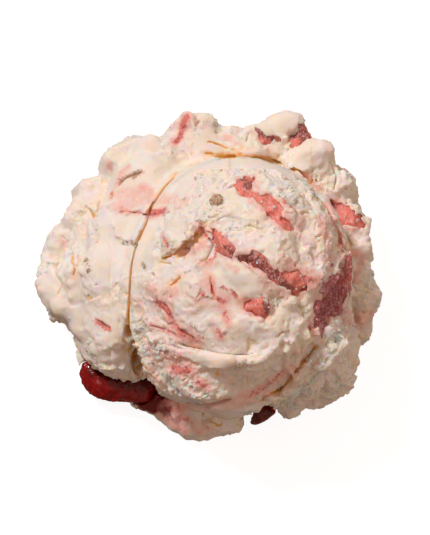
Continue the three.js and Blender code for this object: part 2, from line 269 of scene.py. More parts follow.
    def heal(self, pixels, radius, fill):
        """Fills hollows within radius mm of a line of pixels."""
        places, _ = self.trail(pixels, 1.0)
        part, distance = self.away(places, 0.0, radius)
        share = 1 - smooth_step(0.4 * radius, radius, distance)
        filled = np.minimum(self.skin[part], self.smooth[part] - fill)
        self.skin[part] += (filled - self.skin[part]) * share

    def crease(self, pixels, wide, deep, blend=0.25):
        """A crease along a line of pixels, which narrows downwards and dies out at its ends."""
        places, out = self.trail(pixels, CREASE_STEP)
        if len(places) < 3:
            return
        kernel = np.ones(CREASE_EVENED) / CREASE_EVENED
        ends = (CREASE_EVENED // 2, CREASE_EVENED // 2), (0, 0)
        padded = [np.pad(values, ends, mode="edge").T for values in (places, out)]
        places, out = [np.stack([np.convolve(row, kernel, "valid") for row in rows], 1) for rows in padded]
        out /= np.linalg.norm(out, axis=1, keepdims=True)
        count = np.arange(len(places))
        taper = np.sqrt(np.clip(np.minimum(count, count[::-1]) * CREASE_STEP / CREASE_END, CREASE_TAPER, 1))
        centres, radii = [], []
        for depth in np.arange(CREASE_FROM, deep + 0.01, CREASE_LEVEL):
            centres.append(places - out * (depth * taper)[:, None])
            radii.append(np.maximum(wide * taper * (1 - 0.5 * max(depth, 0) / deep), CREASE_THIN))
        self.cut(np.concatenate(centres), np.concatenate(radii), blend)

    def dip(self, pixels, above, below, deep):
        """Leans the skin in towards a line of pixels, over above mm before it and below mm beyond it."""
        places, _ = self.trail(pixels, 2)
        reach = above + below
        part, (x, y, z) = self.window(places.min(0) - reach, places.max(0) + reach)
        column, row = self.seen(x, y, z)
        marks = np.array(pixels, float)
        way = (marks[-1] - marks[0]) / np.linalg.norm(marks[-1] - marks[0])
        side = np.array((-way[1], way[0]))
        along, across = (marks - marks[0]) @ way, (marks - marks[0]) @ side
        run = (column - marks[0][0]) * way[0] + (row - marks[0][1]) * way[1]
        off = (column - marks[0][0]) * side[0] + (row - marks[0][1]) * side[1]
        off = (off - np.interp(run, along, across)) * (PIXEL * MM)
        share = np.where(off < 0, np.clip(1 + off / above, 0, 1), np.clip(1 - off / below, 0, 1) ** 1.3)
        ends = smooth_step(0, DIP_ENDS, run / along[-1]) * smooth_step(0, DIP_ENDS, 1 - run / along[-1])
        self.skin[part] += (deep * share * ends).astype(np.float32)

    def ridge(self, pixels, thick, proud, blend=2.0):
        """A rounded ridge, thick mm across, that stands proud of the skin along a line of pixels."""
        places, out = self.trail(pixels, 0.8)
        share = np.linspace(0, 1, len(places))
        taper = np.sqrt(np.clip(4 * share * (1 - share), 0.1, 1))
        radii = thick / 2 * taper
        self.add(places + out * (proud * taper - radii)[:, None], radii, blend)

    def seen(self, x, y, z):
        """The pixels at which places are seen."""
        across, along, nearer = [
            sum((c - AIM[i] * MM) * axis[i] for i, c in enumerate((x, y, z)))
            for axis in (right, up, towards_camera)]
        scale = AWAY / (AWAY * MM - nearer) / PIXEL
        return PHOTO_WIDE / 2 + across * scale, PHOTO_HIGH / 2 - along * scale

    def inside(self, outline, low, high, ragged):
        """A part of the grid and how far in mm each of its points is inside an outline of pixels."""
        part, (x, y, z) = self.window(low, high)
        column, row = self.seen(x, y, z)
        nearest, within = np.full(column.shape, 1e9), np.zeros(column.shape, bool)
        for (ax, ay), (bx, by) in zip(outline, outline[1:] + outline[:1]):
            share = ((column - ax) * (bx - ax) + (row - ay) * (by - ay)) / ((bx - ax) ** 2 + (by - ay) ** 2)
            share = np.clip(share, 0, 1)
            gap = np.hypot(column - ax - share * (bx - ax), row - ay - share * (by - ay))
            nearest = np.minimum(nearest, gap)
            if ay != by:
                within ^= ((ay > row) != (by > row)) & (column < ax + (row - ay) * (bx - ax) / (by - ay))
        signed = np.where(within, nearest, -nearest) * PIXEL * MM
        if ragged:
            signed = signed + ragged * self.tear[part]
        return part, signed, column, row

    def layer(self, outline, hinge, tip, lift, ragged=0.5, edge=0.3):
        """Lifts the skin inside an outline of pixels, from nothing at the hinge to lift mm at the tip."""
        places, _ = self.trail(outline, 3)
        part, signed, column, row = self.inside(outline, places.min(0) - 4, places.max(0) + 4, ragged)
        run = np.array(tip, float) - hinge
        slope = np.clip(((column - hinge[0]) * run[0] + (row - hinge[1]) * run[1]) / (run @ run), 0, 1.2)
        self.skin[part] -= lift * slope * smooth_step(-edge, edge, signed)

    def bridge(self, first, second, radius, blend=1.5):
        """Fills the hollow between two lines of pixels with cream."""
        ends = [self.trail([pixel], 1)[0][0] for pixel in first + second]
        rows = [np.array(ends[:len(first)]), np.array(ends[len(first):])]
        share = np.linspace(0, len(first) - 1, 8 * len(first))
        count = np.arange(len(first))
        start, end = [np.stack([np.interp(share, count, row[:, i]) for i in range(3)], 1) for row in rows]
        centres = np.concatenate([start + (end - start) * t for t in (0.2, 0.35, 0.5, 0.65, 0.8)])
        self.add(centres - radius * np.array(towards_camera), radius, blend)

    def crumbs(self, size, seed, where, warp=0.35):
        """Close-packed crumbs about size mm wide: 0.5 at their tops, and less between them."""
        rng = np.random.default_rng(seed)
        cells = np.argwhere(where)
        bend = np.stack([self.grain(1.4 * size, seed + i)[where] for i in (1, 2, 3)], 1)
        at = cells * (self.cube / size) + warp * bend + 3
        own = np.floor(at).astype(int)
        centres = rng.random(tuple(own.max(0) + 3) + (3,), dtype=np.float32)
        first = np.full(len(at), 9.0)
        for step in np.ndindex(3, 3, 3):
            cell = own + step - 1
            gap = cell + centres[tuple(cell.T)] - at
            first = np.minimum(first, np.einsum("ij,ij->i", gap, gap))
        values = np.zeros(self.skin.shape, np.float32)
        values[where] = 0.5 - np.sqrt(first)
        return values

    def patch(self, pixels, radius, field, value):
        """Draws a soft round-ended patch along a line of pixels into a field, towards value."""
        places, _ = self.trail(pixels, radius / 3)
        part, distance = self.away(places, 0.0, radius)
        share = 1 - smooth_step(0.55 * radius, radius, distance)
        field[part] += (value - field[part]) * share

    def mesh(self, name, most, skin=None):
        """The skin as a mesh in metres of at most that many triangles."""
        field = openvdb.FloatGrid(BAND)
        field.copyFromArray(self.skin if skin is None else skin)
        points, triangles, quads = field.convertToPolygons()
        points = (points * self.cube + self.low) / MM
        made = bpy.data.meshes.new(name)
        outward = quads[:, ::-1]
        halves = outward[:, [0, 1, 2]], outward[:, [0, 2, 3]], triangles[:, ::-1]
        made.from_pydata(points, [], np.concatenate(halves))
        holder = bpy.data.objects.new(name, made)
        bpy.context.scene.collection.objects.link(holder)
        bulk = 2 * len(quads) + len(triangles)
        if bulk > most:
            thin = holder.modifiers.new("thin", "DECIMATE")
            thin.ratio = most / bulk
            graph = bpy.context.evaluated_depsgraph_get()
            holder.data = bpy.data.meshes.new_from_object(holder.evaluated_get(graph))
            holder.modifiers.clear()
        whole = bmesh.new()
        whole.from_mesh(holder.data)
        left, islands = set(whole.verts), []
        while left:
            island, edge = set(), [left.pop()]
            while edge:
                vertex = edge.pop()
                island.add(vertex)
                for side in vertex.link_edges:
                    other = side.other_vert(vertex)
                    if other in left:
                        left.discard(other)
                        edge.append(other)
            islands.append(island)
        least = len(max(islands, key=len)) * SCRAP
        scraps = [v for island in islands if len(island) < least for v in island]
        bmesh.ops.delete(whole, geom=scraps, context="VERTS")
        whole.to_mesh(holder.data)
        whole.free()
        return holder


cream = Clay(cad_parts["ice_cream"], CREAM_CUBE)

# The chunks of fruit in the cream: the node, the outline of what shows of it in pixels, and how far in mm
# the cream is opened above it.
FRUIT = {
    "strawberry_upper_strip": (
        [(237, 178), (246, 176), (254, 178), (255, 184), (253, 188), (262, 194), (272, 199), (282, 205),
         (285, 211), (285, 217), (290, 221), (294, 230), (284, 230), (275, 222), (266, 213), (256, 202),
         (243, 195), (237, 189)], 3.0),
    "strawberry_middle_left": (
        [(212, 230), (221, 234), (228, 242), (235, 251), (233, 256), (222, 253), (216, 246),
         (212, 238)], 3.0),
    "strawberry_middle_right": (
        [(233, 256), (246, 254), (252, 251), (261, 255), (266, 264), (272, 268), (282, 271), (291, 274),
         (302, 273), (313, 275), (318, 282), (309, 287), (301, 291), (298, 296), (289, 291), (277, 286),
         (269, 277), (261, 269), (250, 266), (240, 261)], 3.0),
    "strawberry_small": (
        [(245, 305), (254, 301), (262, 299), (268, 304), (271, 312), (264, 318), (256, 315),
         (247, 312)], 3.0),
    "strawberry_right": (
        [(343, 255), (351, 252), (361, 257), (361, 268), (355, 274), (353, 284), (347, 295), (342, 305),
         (336, 312), (326, 320), (321, 331), (313, 333), (309, 327), (314, 317), (314, 311), (315, 300),
         (321, 290), (323, 283), (332, 276), (341, 273), (342, 265)], 7.0),
    "strawberry_right_collar": (
        [(329, 200), (341, 201), (350, 209), (361, 218), (364, 226), (355, 228), (344, 225), (336, 219),
         (331, 210)], 5.0),
    "strawberry_back": (
        [(255, 128), (262, 130), (268, 137), (274, 135), (281, 138), (280, 141), (274, 139), (269, 143),
         (264, 145), (257, 141), (258, 133)], 4.0),
    "strawberry_back_right": (
        [(289, 139), (295, 131), (299, 124), (302, 119), (307, 127), (314, 139), (302, 142),
         (291, 148)], 7.0),
    "strawberry_front_left": (
        [(80, 352), (92, 363), (101, 371), (108, 374), (115, 375), (123, 379), (129, 378), (137, 376),
         (146, 377), (157, 384), (160, 398), (152, 408), (142, 405), (129, 402), (108, 401), (94, 399),
         (83, 389), (78, 374), (78, 362)], 12.0),
    "strawberry_front_right": (
        [(256, 402), (262, 396), (268, 397), (276, 410), (275, 414), (246, 432), (243, 427),
         (253, 416)], 18.0),
}
WET_CHUNKS = ("strawberry_front_left", "strawberry_front_right")
ROOM = 6.0  # room round a chunk, in mm
CHUNK_CUBE = 0.22  # side of one cube of a chunk's field, in mm
chunks = {name: Clay(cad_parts[name], CHUNK_CUBE, ROOM) for name in FRUIT}


def around(chunk, margin):
    """The corners of a box round a chunk, margin mm wider than the chunk."""
    return chunk.box[0] - margin, chunk.box[1] + margin


def spots(clay, part, chosen):
    """The places in mm of the chosen points of a part of the grid."""
    return clay.low + clay.cube * (np.argwhere(chosen) + [s.start for s in part])


def swept(chunk, places, far):
    """Distances from places to a chunk that has been drawn out by far mm towards the camera."""
    shifts = np.linspace(0, far, 2 + int(far / 1.5))
    back = -np.array(towards_camera)
    return np.min([chunk.sample(chunk.skin, places + shift * back) for shift in shifts], axis=0)


for name, chunk in chunks.items():
    if name not in WET_CHUNKS:
        part, _ = cream.window(*around(chunk, 2.0))
        joined = cream.skin[part]
        near = joined < BAND
        joined[near] = np.minimum(joined[near], swept(chunk, spots(cream, part, near), 0))
cream.skin = cream.softened(cream.skin, EASE)
cream.tear = 0.75 * cream.grain(1.6, 5) + 0.65 * cream.grain(0.7, 6)  # how ragged an outline is

# Hollows that the solid has and the scoop hasn't are filled: lines of pixels, radius and fill in mm.
HEALED = [
    ([(150, 365), (139, 345), (131, 330), (129, 316), (130, 289), (132, 263), (137, 244), (146, 225),
      (150, 212),
      (155, 201), (165, 188), (178, 176), (196, 165), (212, 160)], 4.0, 0.35),
    ([(206, 156), (225, 154), (250, 152), (272, 158), (288, 166), (304, 173)], 4.0, 0.2),
    ([(319, 338), (312, 346), (303, 362), (292, 377), (278, 390), (264, 399)], 3.5, 0.2),
    ([(304, 348), (316, 338), (330, 326)], 4.0, 0.3), ([(340, 324), (350, 306), (352, 286)], 3.5, 0.1),
    ([(196, 150), (216, 148)], 3.5, 0.2), ([(165, 222), (180, 244), (205, 228), (190, 215)], 3.0, 0.1),
]
cream.bridge([(148, 198), (136, 217), (126, 245), (119, 275), (115, 305), (117, 330)],
             [(170, 198), (159, 217), (150, 245), (144, 275), (142, 305), (143, 330)], 3.0)
cream.bridge([(90, 190), (78, 212), (66, 232), (56, 254), (52, 276), (58, 300)],
             [(106, 194), (99, 212), (90, 232), (84, 254), (82, 276), (84, 304)], 3.0)
cream.bridge([(52, 276), (56, 296), (66, 315)], [(84, 276), (84, 304), (86, 328)], 3.0)
cream.bridge([(298, 354), (310, 342)], [(320, 360), (332, 344)], 2.5)
cream.bridge([(338, 312), (326, 328), (318, 342)], [(350, 334), (338, 344), (326, 354)], 2.5)
HEALED_OVER = 1.8  # hollows narrower than about this are filled, in mm
for fill in (0, 0.2):
    cream.smooth = cream.softened(cream.skin, HEALED_OVER)
    for pixels, radius, more in HEALED:
        cream.heal(pixels, radius, more + fill)

# Lumps of the collar that show at its edge: where they show in pixels, and their radius in mm.
LUMPS = [
    ((178, 122), 1.9), ((190, 119), 1.7), ((205, 120), 1.9), ((150, 139), 1.9), ((134, 142), 1.9),
    ((114, 151), 1.8), ((106, 160), 1.6), ((92, 184), 2.0), ((84, 191), 1.6), ((80, 206), 2.0),
    ((72, 218), 1.9), ((62, 234), 2.0), ((56, 247), 1.9), ((50, 258), 2.2), ((46, 270), 2.4),
    ((46, 284), 2.4), ((50, 296), 2.4), ((60, 308), 2.2), ((296, 119), 1.6), ((284, 119), 1.6),
    ((272, 124), 1.5), ((326, 148), 1.7), ((338, 163), 1.7), ((346, 180), 1.9), ((350, 196), 2.0),
    ((352, 212), 1.9), ((349, 226), 1.7), ((360, 232), 2.2), ((357, 246), 2.0), ((363, 250), 1.9),
    ((362, 268), 2.0), ((366, 302), 2.2), ((358, 316), 2.0), ((340, 350), 2.2), ((326, 362), 2.4),
    ((338, 370), 2.2), ((312, 384), 2.4), ((326, 380), 2.0), ((298, 398), 2.2), ((366, 276), 1.9),
    ((370, 292), 2.0), ((376, 313), 1.4), ((350, 348), 1.8), ((352, 364), 2.0), ((346, 380), 2.0),
    ((330, 393), 2.0), ((312, 404), 2.0), ((292, 408), 2.0), ((216, 428), 1.4), ((235, 426), 1.4),
    ((194, 427), 1.4),
]
LUMP_SUNK, LUMP_GROWN = 0.45, 1.3  # shares of a lump's radius
LUMP_BLEND = 2.2
for pixel, radius in LUMPS:
    places, out = cream.trail([pixel])
    if len(places):
        cream.add(places - LUMP_SUNK * radius * out, LUMP_GROWN * radius, LUMP_BLEND)


def at_height(pixels, height):
    """The places in mm that are seen at those pixels and stand that high."""
    marks = np.array(pixels, float)
    across = (marks[:, 0] - PHOTO_WIDE / 2) * PIXEL * MM
    along = (PHOTO_HIGH / 2 - marks[:, 1]) * PIXEL * MM
    back = AIM[1] * MM + (along - (height - AIM[2] * MM) * up[2]) / up[1]
    return np.stack([AIM[0] * MM + across, back, np.full(len(marks), height)], 1)


# The wet foot of the scoop reaches out below the rim.
FOOT = [(138, 399), (146, 402), (154, 406), (162, 411), (170, 416), (178, 423), (188, 429), (200, 431)]
FOOT_HEIGHT, FOOT_RADIUS, FOOT_BLEND = 3.0, 2.6, 2.5
cream.add(at_height(FOOT, FOOT_HEIGHT), FOOT_RADIUS, FOOT_BLEND)

# Cream that stands too far out is pared away: the line it is pared to, and beyond it an outline in pixels.
PARED = [
    [(70, 176), (88, 178), (99, 176), (98, 164), (103, 152), (113, 145), (124, 142), (134, 137), (143, 138),
     (150, 134), (159, 137), (165, 127), (171, 120), (178, 115), (150, 90), (60, 110)],
    [(58, 319), (67, 324), (71, 339), (77, 348), (84, 357), (90, 365), (98, 371), (70, 392), (46, 350)],
]
PARED_WITHIN, PARED_RAGGED, PARED_BLEND = 9, 0.12, 1.2
for outline in PARED:
    places, _ = cream.trail(outline[1:-2], 3)
    part, signed, _, _ = cream.inside(
        outline, places.min(0) - PARED_WITHIN, places.max(0) + PARED_WITHIN, PARED_RAGGED)
    share = np.clip(0.5 - 0.5 * (cream.skin[part] - signed) / PARED_BLEND, 0, 1)
    cream.skin[part] = cream.skin[part] * (1 - share) + signed * share + PARED_BLEND * share * (1 - share)

# Layers that the dipper has rolled on: outline, hinge and tip in pixels, lift in mm.
LAYERS = [
    ([(205, 228), (232, 250), (262, 266), (292, 287), (318, 290), (332, 270), (338, 240), (328, 205),
      (300, 178), (262, 168), (232, 180), (212, 200)], (300, 175), (245, 262), 0.7),
    ([(163, 213), (180, 209), (197, 209), (199, 216), (200, 224), (188, 237), (178, 248), (170, 253),
      (160, 259), (164, 240)], (164, 218), (186, 238), 1.5),
    ([(138, 346), (148, 368), (158, 392), (172, 399), (194, 403), (216, 402), (230, 398), (222, 382),
      (195, 378), (172, 362), (155, 345)], (185, 365), (178, 398), 1.1),
    ([(150, 330), (170, 336), (194, 342), (192, 352), (176, 360), (158, 356), (148, 344)], (170, 330),
     (168, 356), 0.6),
    ([(100, 190), (140, 194), (148, 208), (140, 211), (118, 210), (104, 206)], (125, 190), (128, 212), 0.5),
    ([(112, 214), (146, 216), (138, 240), (126, 243), (116, 236)], (130, 214), (127, 243), 0.7),
    ([(84, 330), (92, 300), (112, 296), (126, 318), (122, 350), (104, 352)], (98, 300), (112, 346), 0.6),
    ([(183, 268), (206, 262), (212, 275), (211, 297), (196, 300), (180, 292)], (190, 270), (206, 296), 0.5),
    ([(172, 300), (196, 296), (220, 305), (216, 326), (196, 330), (180, 322)], (196, 298), (192, 328), 0.5),
    ([(286, 158), (308, 150), (330, 144), (338, 156), (322, 164), (304, 172), (290, 166)], (312, 150),
     (306, 172), 0.8),
    ([(268, 122), (284, 112), (302, 112), (302, 122), (294, 132), (284, 142), (272, 134)], (276, 118),
     (286, 142), 0.9),
]
for outline, hinge, tip, lift in LAYERS:
    cream.layer(outline, hinge, tip, lift)

# Folds where one roll of cream leans in under the next: a line of pixels, how far in mm the cream leans
# on its left and on its right, and how deep.
DIPS = [
    # under the lip
    ([(176, 343), (196, 347), (218, 351), (236, 354), (256, 353), (276, 346)], 7.5, 2.0, 1.5),
    ([(322, 340), (314, 349), (300, 366), (284, 387), (268, 398)], 1.2, 6.0, 1.7),  # ball's lower right
    ([(150, 392), (166, 399), (194, 404), (216, 403), (236, 397)], 1.2, 2.0, 1.0),  # under the rim
    ([(212, 157), (229, 156), (245, 156), (262, 158), (278, 162)], 1.2, 2.2, 1.1),  # behind the ball
    ([(172, 257), (180, 249), (192, 237), (204, 226)], 0.6, 4.5, 1.1),  # beside the flake
]
for pixels, above, below, deep in DIPS:
    cream.dip(pixels, above, below, deep)

# Rounded ridges: a line of pixels, how thick and how proud in mm.
RIDGES = [
    ([(214, 262), (231, 253), (241, 268), (252, 280), (262, 300)], 5, 0.8),  # smooth ridge in the middle
    ([(186, 355), (212, 361), (243, 359), (268, 352)], 3.5, 1.1),  # band under the lip
    ([(306, 186), (322, 212), (328, 240), (322, 272)], 5, 0.5),  # band along the right side
    ([(284, 161), (306, 152), (328, 146)], 5, 0.6),  # finger of cream at the back right
    ([(200, 150), (232, 146), (262, 147)], 4, 0.5),  # ledge over the back crevice
]
for pixels, thick, proud in RIDGES:
    cream.ridge(pixels, thick, proud)

# How torn the skin is, 0 where the dipper has smoothed it: first all over, then patch by patch.
TORN = 0.8
torn = np.full(cream.skin.shape, TORN, np.float32)
SKIN_PATCHES = [
    ([(200, 190), (250, 200), (300, 230), (300, 300), (230, 320), (180, 300), (180, 220)], 22, 0.35),
    ([(300, 320), (300, 350), (270, 380), (220, 390)], 9, 0.12),  # smooth lower right of the ball
    ([(150, 210), (125, 260), (112, 310), (115, 345)], 8, 0.10),  # the fold
    ([(130, 180), (160, 178)], 7, 0.10),
    ([(180, 212), (156, 255), (146, 305)], 6, 0.06),  # left side of the ball
    ([(190, 180), (230, 172), (275, 175)], 6, 0.12),
    ([(115, 152), (150, 150), (190, 160)], 6, 0.15),
    ([(186, 122), (184, 136)], 5, 0.45),
    ([(212, 152), (264, 150)], 4, 0.15),
    ([(285, 160), (326, 147)], 4, 0.2),
    ([(235, 192), (275, 215), (312, 250), (322, 280)], 9, 0.8),  # torn plateau
    ([(218, 212), (250, 240), (288, 270)], 6, 0.7),
    ([(175, 216), (190, 222)], 4.5, 0.8),  # the flake
    ([(150, 312), (168, 350), (190, 388)], 9, 0.6),  # rough low left of the ball
    ([(185, 280), (205, 300)], 6, 0.4),
    ([(144, 372), (168, 394), (200, 398), (235, 394)], 4.5, 0.85),  # crumbly rim
    ([(228, 258), (258, 298)], 4, 0.03),  # smooth ridge
    ([(208, 336), (245, 338), (272, 330)], 5, 0.45),  # lip
    ([(200, 360), (245, 360)], 2, 0.10),
    ([(145, 400), (165, 412), (180, 424)], 5, 0.15),  # wet foot
    ([(205, 412), (240, 412)], 5, 0.15),
    ([(92, 352), (118, 366), (140, 376)], 5, 0.9),  # torn end of the fold
    ([(100, 330), (108, 345)], 5, 0.12),
    ([(85, 195), (62, 225), (50, 262), (50, 290), (65, 320)], 7, 0.45),  # left collar
    ([(105, 165), (95, 190)], 6, 0.3),
    ([(240, 140), (262, 134)], 4, 0.5),
    ([(268, 128), (284, 118), (300, 118)], 5, 0.1),  # smooth block at the top right
    ([(46, 300), (60, 312), (76, 322)], 5, 0.12),
    ([(330, 352), (340, 380), (300, 402)], 9, 0.75),  # lump at the lower right
    ([(333, 190), (345, 200), (358, 240)], 5, 0.6),
]
for pixels, radius, value in SKIN_PATCHES:
    cream.patch(pixels, radius, torn, value)
BESIDE_FRUIT, TORN_BESIDE_FRUIT = 2.0, 0.35
for name, (outline, _) in FRUIT.items():
    cream.patch(outline + outline[:1], BESIDE_FRUIT, torn, TORN_BESIDE_FRUIT)

# Relief: knobs, plates with ragged edges, clots and close-packed crumbs where the skin is torn, and pits.
rng = np.random.default_rng(21)


def scatter(clay, weight, count, least, most, sunk):
    """Centres and radii of balls on the skin, more of them where weight is high."""
    near = np.argwhere(np.abs(clay.skin) < 0.6 * clay.cube)
    near = near[near[:, 2] * clay.cube + clay.low[2] > 0.8]
    chance = weight[tuple(near.T)].astype(float)
    chosen = near[rng.choice(len(near), count, replace=False, p=chance / chance.sum())]
    centres = clay.low + clay.cube * (chosen + rng.random((count, 3)) - 0.5)
    radii = least + (most - least) * rng.random(count) ** 2
    return centres + clay.out(centres) * (sunk * radii)[:, None], radii


KNOBS, PITS = 700, 2600
cream.add(*scatter(cream, torn ** 3 + 1e-6, KNOBS, 0.8, 2.0, -0.7), 0.4)
face = cream.skin.copy()  # the skin before its relief, where the fruit will lie
plates = cream.grain(5.0, 11) + 0.25 * cream.grain(1.5, 12)
PLATE_LEVELS = (-1.2, -0.4, 0.4, 1.2)
steps = sum(smooth_step(-0.1, 0.1, plates - level) for level in PLATE_LEVELS) - 2
relief = (0.10 + 0.26 * torn) * steps
relief += 0.35 * torn * (0.5 - np.abs(cream.grain(2.2, 13)))
patchy = 0.6 + 0.4 * smooth_step(-0.7, 0.7, cream.grain(3.5, 16))  # where crumbs lie thicker

# Clots of cream about 3 mm wide: a line of pixels, a radius in mm and how strongly they stand there.
clotted = np.zeros(cream.skin.shape, np.float32)
CLOTTED = [
    ([(330, 345), (335, 375), (305, 395), (285, 402)], 9, 1.0),  # lump at the lower right
    ([(80, 200), (62, 232), (55, 262), (58, 282)], 6, 0.6),  # left collar
    ([(340, 170), (346, 196), (358, 235), (364, 270), (362, 300)], 7, 0.55),  # right collar
    ([(245, 225), (275, 238), (300, 250)], 6, 0.45),  # plateau
    ([(100, 355), (125, 372)], 4, 0.6),  # torn end of the fold
]
for pixels, radius, value in CLOTTED:
    cream.patch(pixels, radius, clotted, value)
CLOT, CLOT_HIGH = 2.9, 1.6
relief += CLOT_HIGH * clotted * cream.crumbs(CLOT, 81, (np.abs(cream.skin) < 1.6) & (clotted > 0.08))
crumbly = (np.abs(cream.skin) < 1.2) & (torn > 0.08)
relief += torn * patchy * (0.75 * cream.crumbs(1.5, 41, crumbly) + 0.7 * cream.crumbs(0.85, 51, crumbly))
relief += 0.06 * cream.grain(2.5, 14) + 0.035 * cream.grain(0.8, 15)
DEEPEST_RELIEF = 1.2
cream.skin -= np.clip(relief, -DEEPEST_RELIEF, DEEPEST_RELIEF)
cream.cut(*scatter(cream, torn ** 2 + 0.02, PITS, 0.2, 0.55, 0.1), 0.25)

# Creases and gashes: a line of pixels, half the width and the depth in mm.
CREASES = [
    ([(177, 173), (163, 188), (154, 201), (149, 212)], 0.46, 1.3),
    ([(154, 201), (149, 212), (145, 225), (136, 244), (131, 263), (129, 289), (128, 316),
      (129, 332), (133, 345)], 0.34, 1.7),
    ([(127, 326), (129, 338), (132, 350), (136, 362), (141, 377)], 1.3, 5.0),
    ([(132, 342), (136, 353), (141, 365), (146, 378)], 1.5, 5.0),
    ([(317, 344), (308, 357), (299, 366), (292, 377), (283, 387), (272, 393), (262, 399)], 0.26, 0.8),
    ([(220, 157), (234, 156), (250, 157), (262, 158), (271, 161)], 0.5, 1.1),
    ([(176, 174), (185, 169), (194, 164), (206, 159), (220, 157)], 0.26, 1.4),
    ([(266, 157), (274, 161), (287, 166), (301, 171), (309, 180), (316, 194)], 0.3, 1.6),
    ([(207, 141), (217, 143), (229, 149)], 0.3, 1.2), ([(205, 153), (214, 154)], 0.26, 1.0),
    ([(312, 190), (318, 199), (330, 209), (338, 228), (344, 254)], 0.6, 3.5),
    ([(174, 254), (188, 241), (202, 227)], 0.3, 0.8),  # under the flake
    ([(160, 259), (172, 256)], 0.25, 0.9),
    ([(170, 286), (175, 281), (181, 277)], 0.4, 1.2),
    ([(210, 276), (211, 286), (213, 295)], 0.32, 1.2),
    ([(178, 344), (196, 347), (218, 352), (236, 354), (254, 353)], 0.3, 1.6),  # under the lip
    ([(152, 391), (166, 399), (194, 405), (216, 404), (232, 399)], 0.5, 2.4),  # under the rim
    ([(118, 186), (124, 178), (133, 174), (142, 172)], 0.4, 1.2),  # dark gash on the fold
    ([(122, 211), (130, 212), (140, 213), (148, 215)], 0.25, 0.8),  # red crease on the fold
    ([(119, 243), (127, 246), (136, 243)], 0.3, 0.9),
    ([(96, 320), (104, 325), (110, 329)], 0.5, 1.5),  # dark pit low on the fold
    ([(83, 206), (84, 211)], 0.5, 0.9), ([(94, 213), (95, 217)], 0.5, 0.9),
    ([(72, 256), (73, 262)], 0.5, 0.9),
    ([(74, 270), (74, 277)], 0.5, 0.9), ([(88, 294), (89, 298)], 0.5, 0.9),
    ([(62, 236), (66, 240)], 0.4, 0.9),
    ([(101, 200), (97, 204), (99, 209), (95, 213)], 0.35, 1.2),
    ([(80, 250), (76, 255), (79, 261), (75, 268)], 0.35, 1.2),
    ([(278, 195), (287, 199), (295, 208)], 0.35, 1.1),
    ([(161, 302), (168, 309), (171, 317)], 0.35, 1.2), ([(172, 322), (182, 332), (194, 338)], 0.26, 0.8),
    ([(163, 214), (164, 228), (160, 244)], 0.24, 0.7),
    ([(203, 232), (214, 246), (206, 260), (198, 264)], 0.3, 0.9),
    ([(236, 256), (250, 268), (262, 278)], 0.28, 0.9), ([(228, 182), (222, 190)], 0.24, 0.7),
    ([(205, 222), (212, 216), (220, 214)], 0.3, 0.9), ([(150, 326), (166, 330), (178, 337)], 0.24, 0.8),
    ([(84, 205), (94, 215), (90, 228)], 0.4, 1.2),
    ([(66, 246), (72, 252), (70, 260), (76, 266), (73, 276)], 0.35, 1.2),
    ([(52, 262), (57, 268), (55, 276), (61, 284), (58, 296)], 0.3, 1.0),
    ([(206, 418), (220, 428), (224, 420)], 0.4, 1.2), ([(250, 132), (246, 142)], 0.3, 0.9),
    ([(330, 160), (338, 176), (334, 190)], 0.35, 1.2), ([(346, 232), (352, 246)], 0.35, 1.2),
]
for pixels, wide, deep in CREASES:
    cream.crease(pixels, wide, deep)

# Short cracks where the cream is torn, each bent a little.
CRACKS = 170
CRACKS_WITHIN = (90, 360), (130, 420)  # columns and rows of pixels
CRACK_JUMP = 0.8  # a crack that would leap further than this from place to place is left out, in mm
rng = np.random.default_rng(33)
for _ in range(CRACKS):
    start = np.array([first + (last - first) * rng.random() for first, last in CRACKS_WITHIN])
    place, _ = cream.trail([start])
    if len(place) and cream.sample(torn, place)[0] > 0.25 + 0.4 * rng.random():
        turn = rng.normal(0, 1, 2)
        turn /= np.hypot(*turn)
        step = 1.5 + 2 * rng.random()
        line = [start]
        for _ in range(4):
            line.append(line[-1] + step * turn + 0.7 * step * rng.normal(0, 1, 2))
        places, _ = cream.trail(line, 0.25)
        if len(places) > 2 and np.linalg.norm(np.diff(places, axis=0), axis=1).max() < CRACK_JUMP:
            cream.crease(line, CREASE_THIN, 0.5 + 0.4 * rng.random())

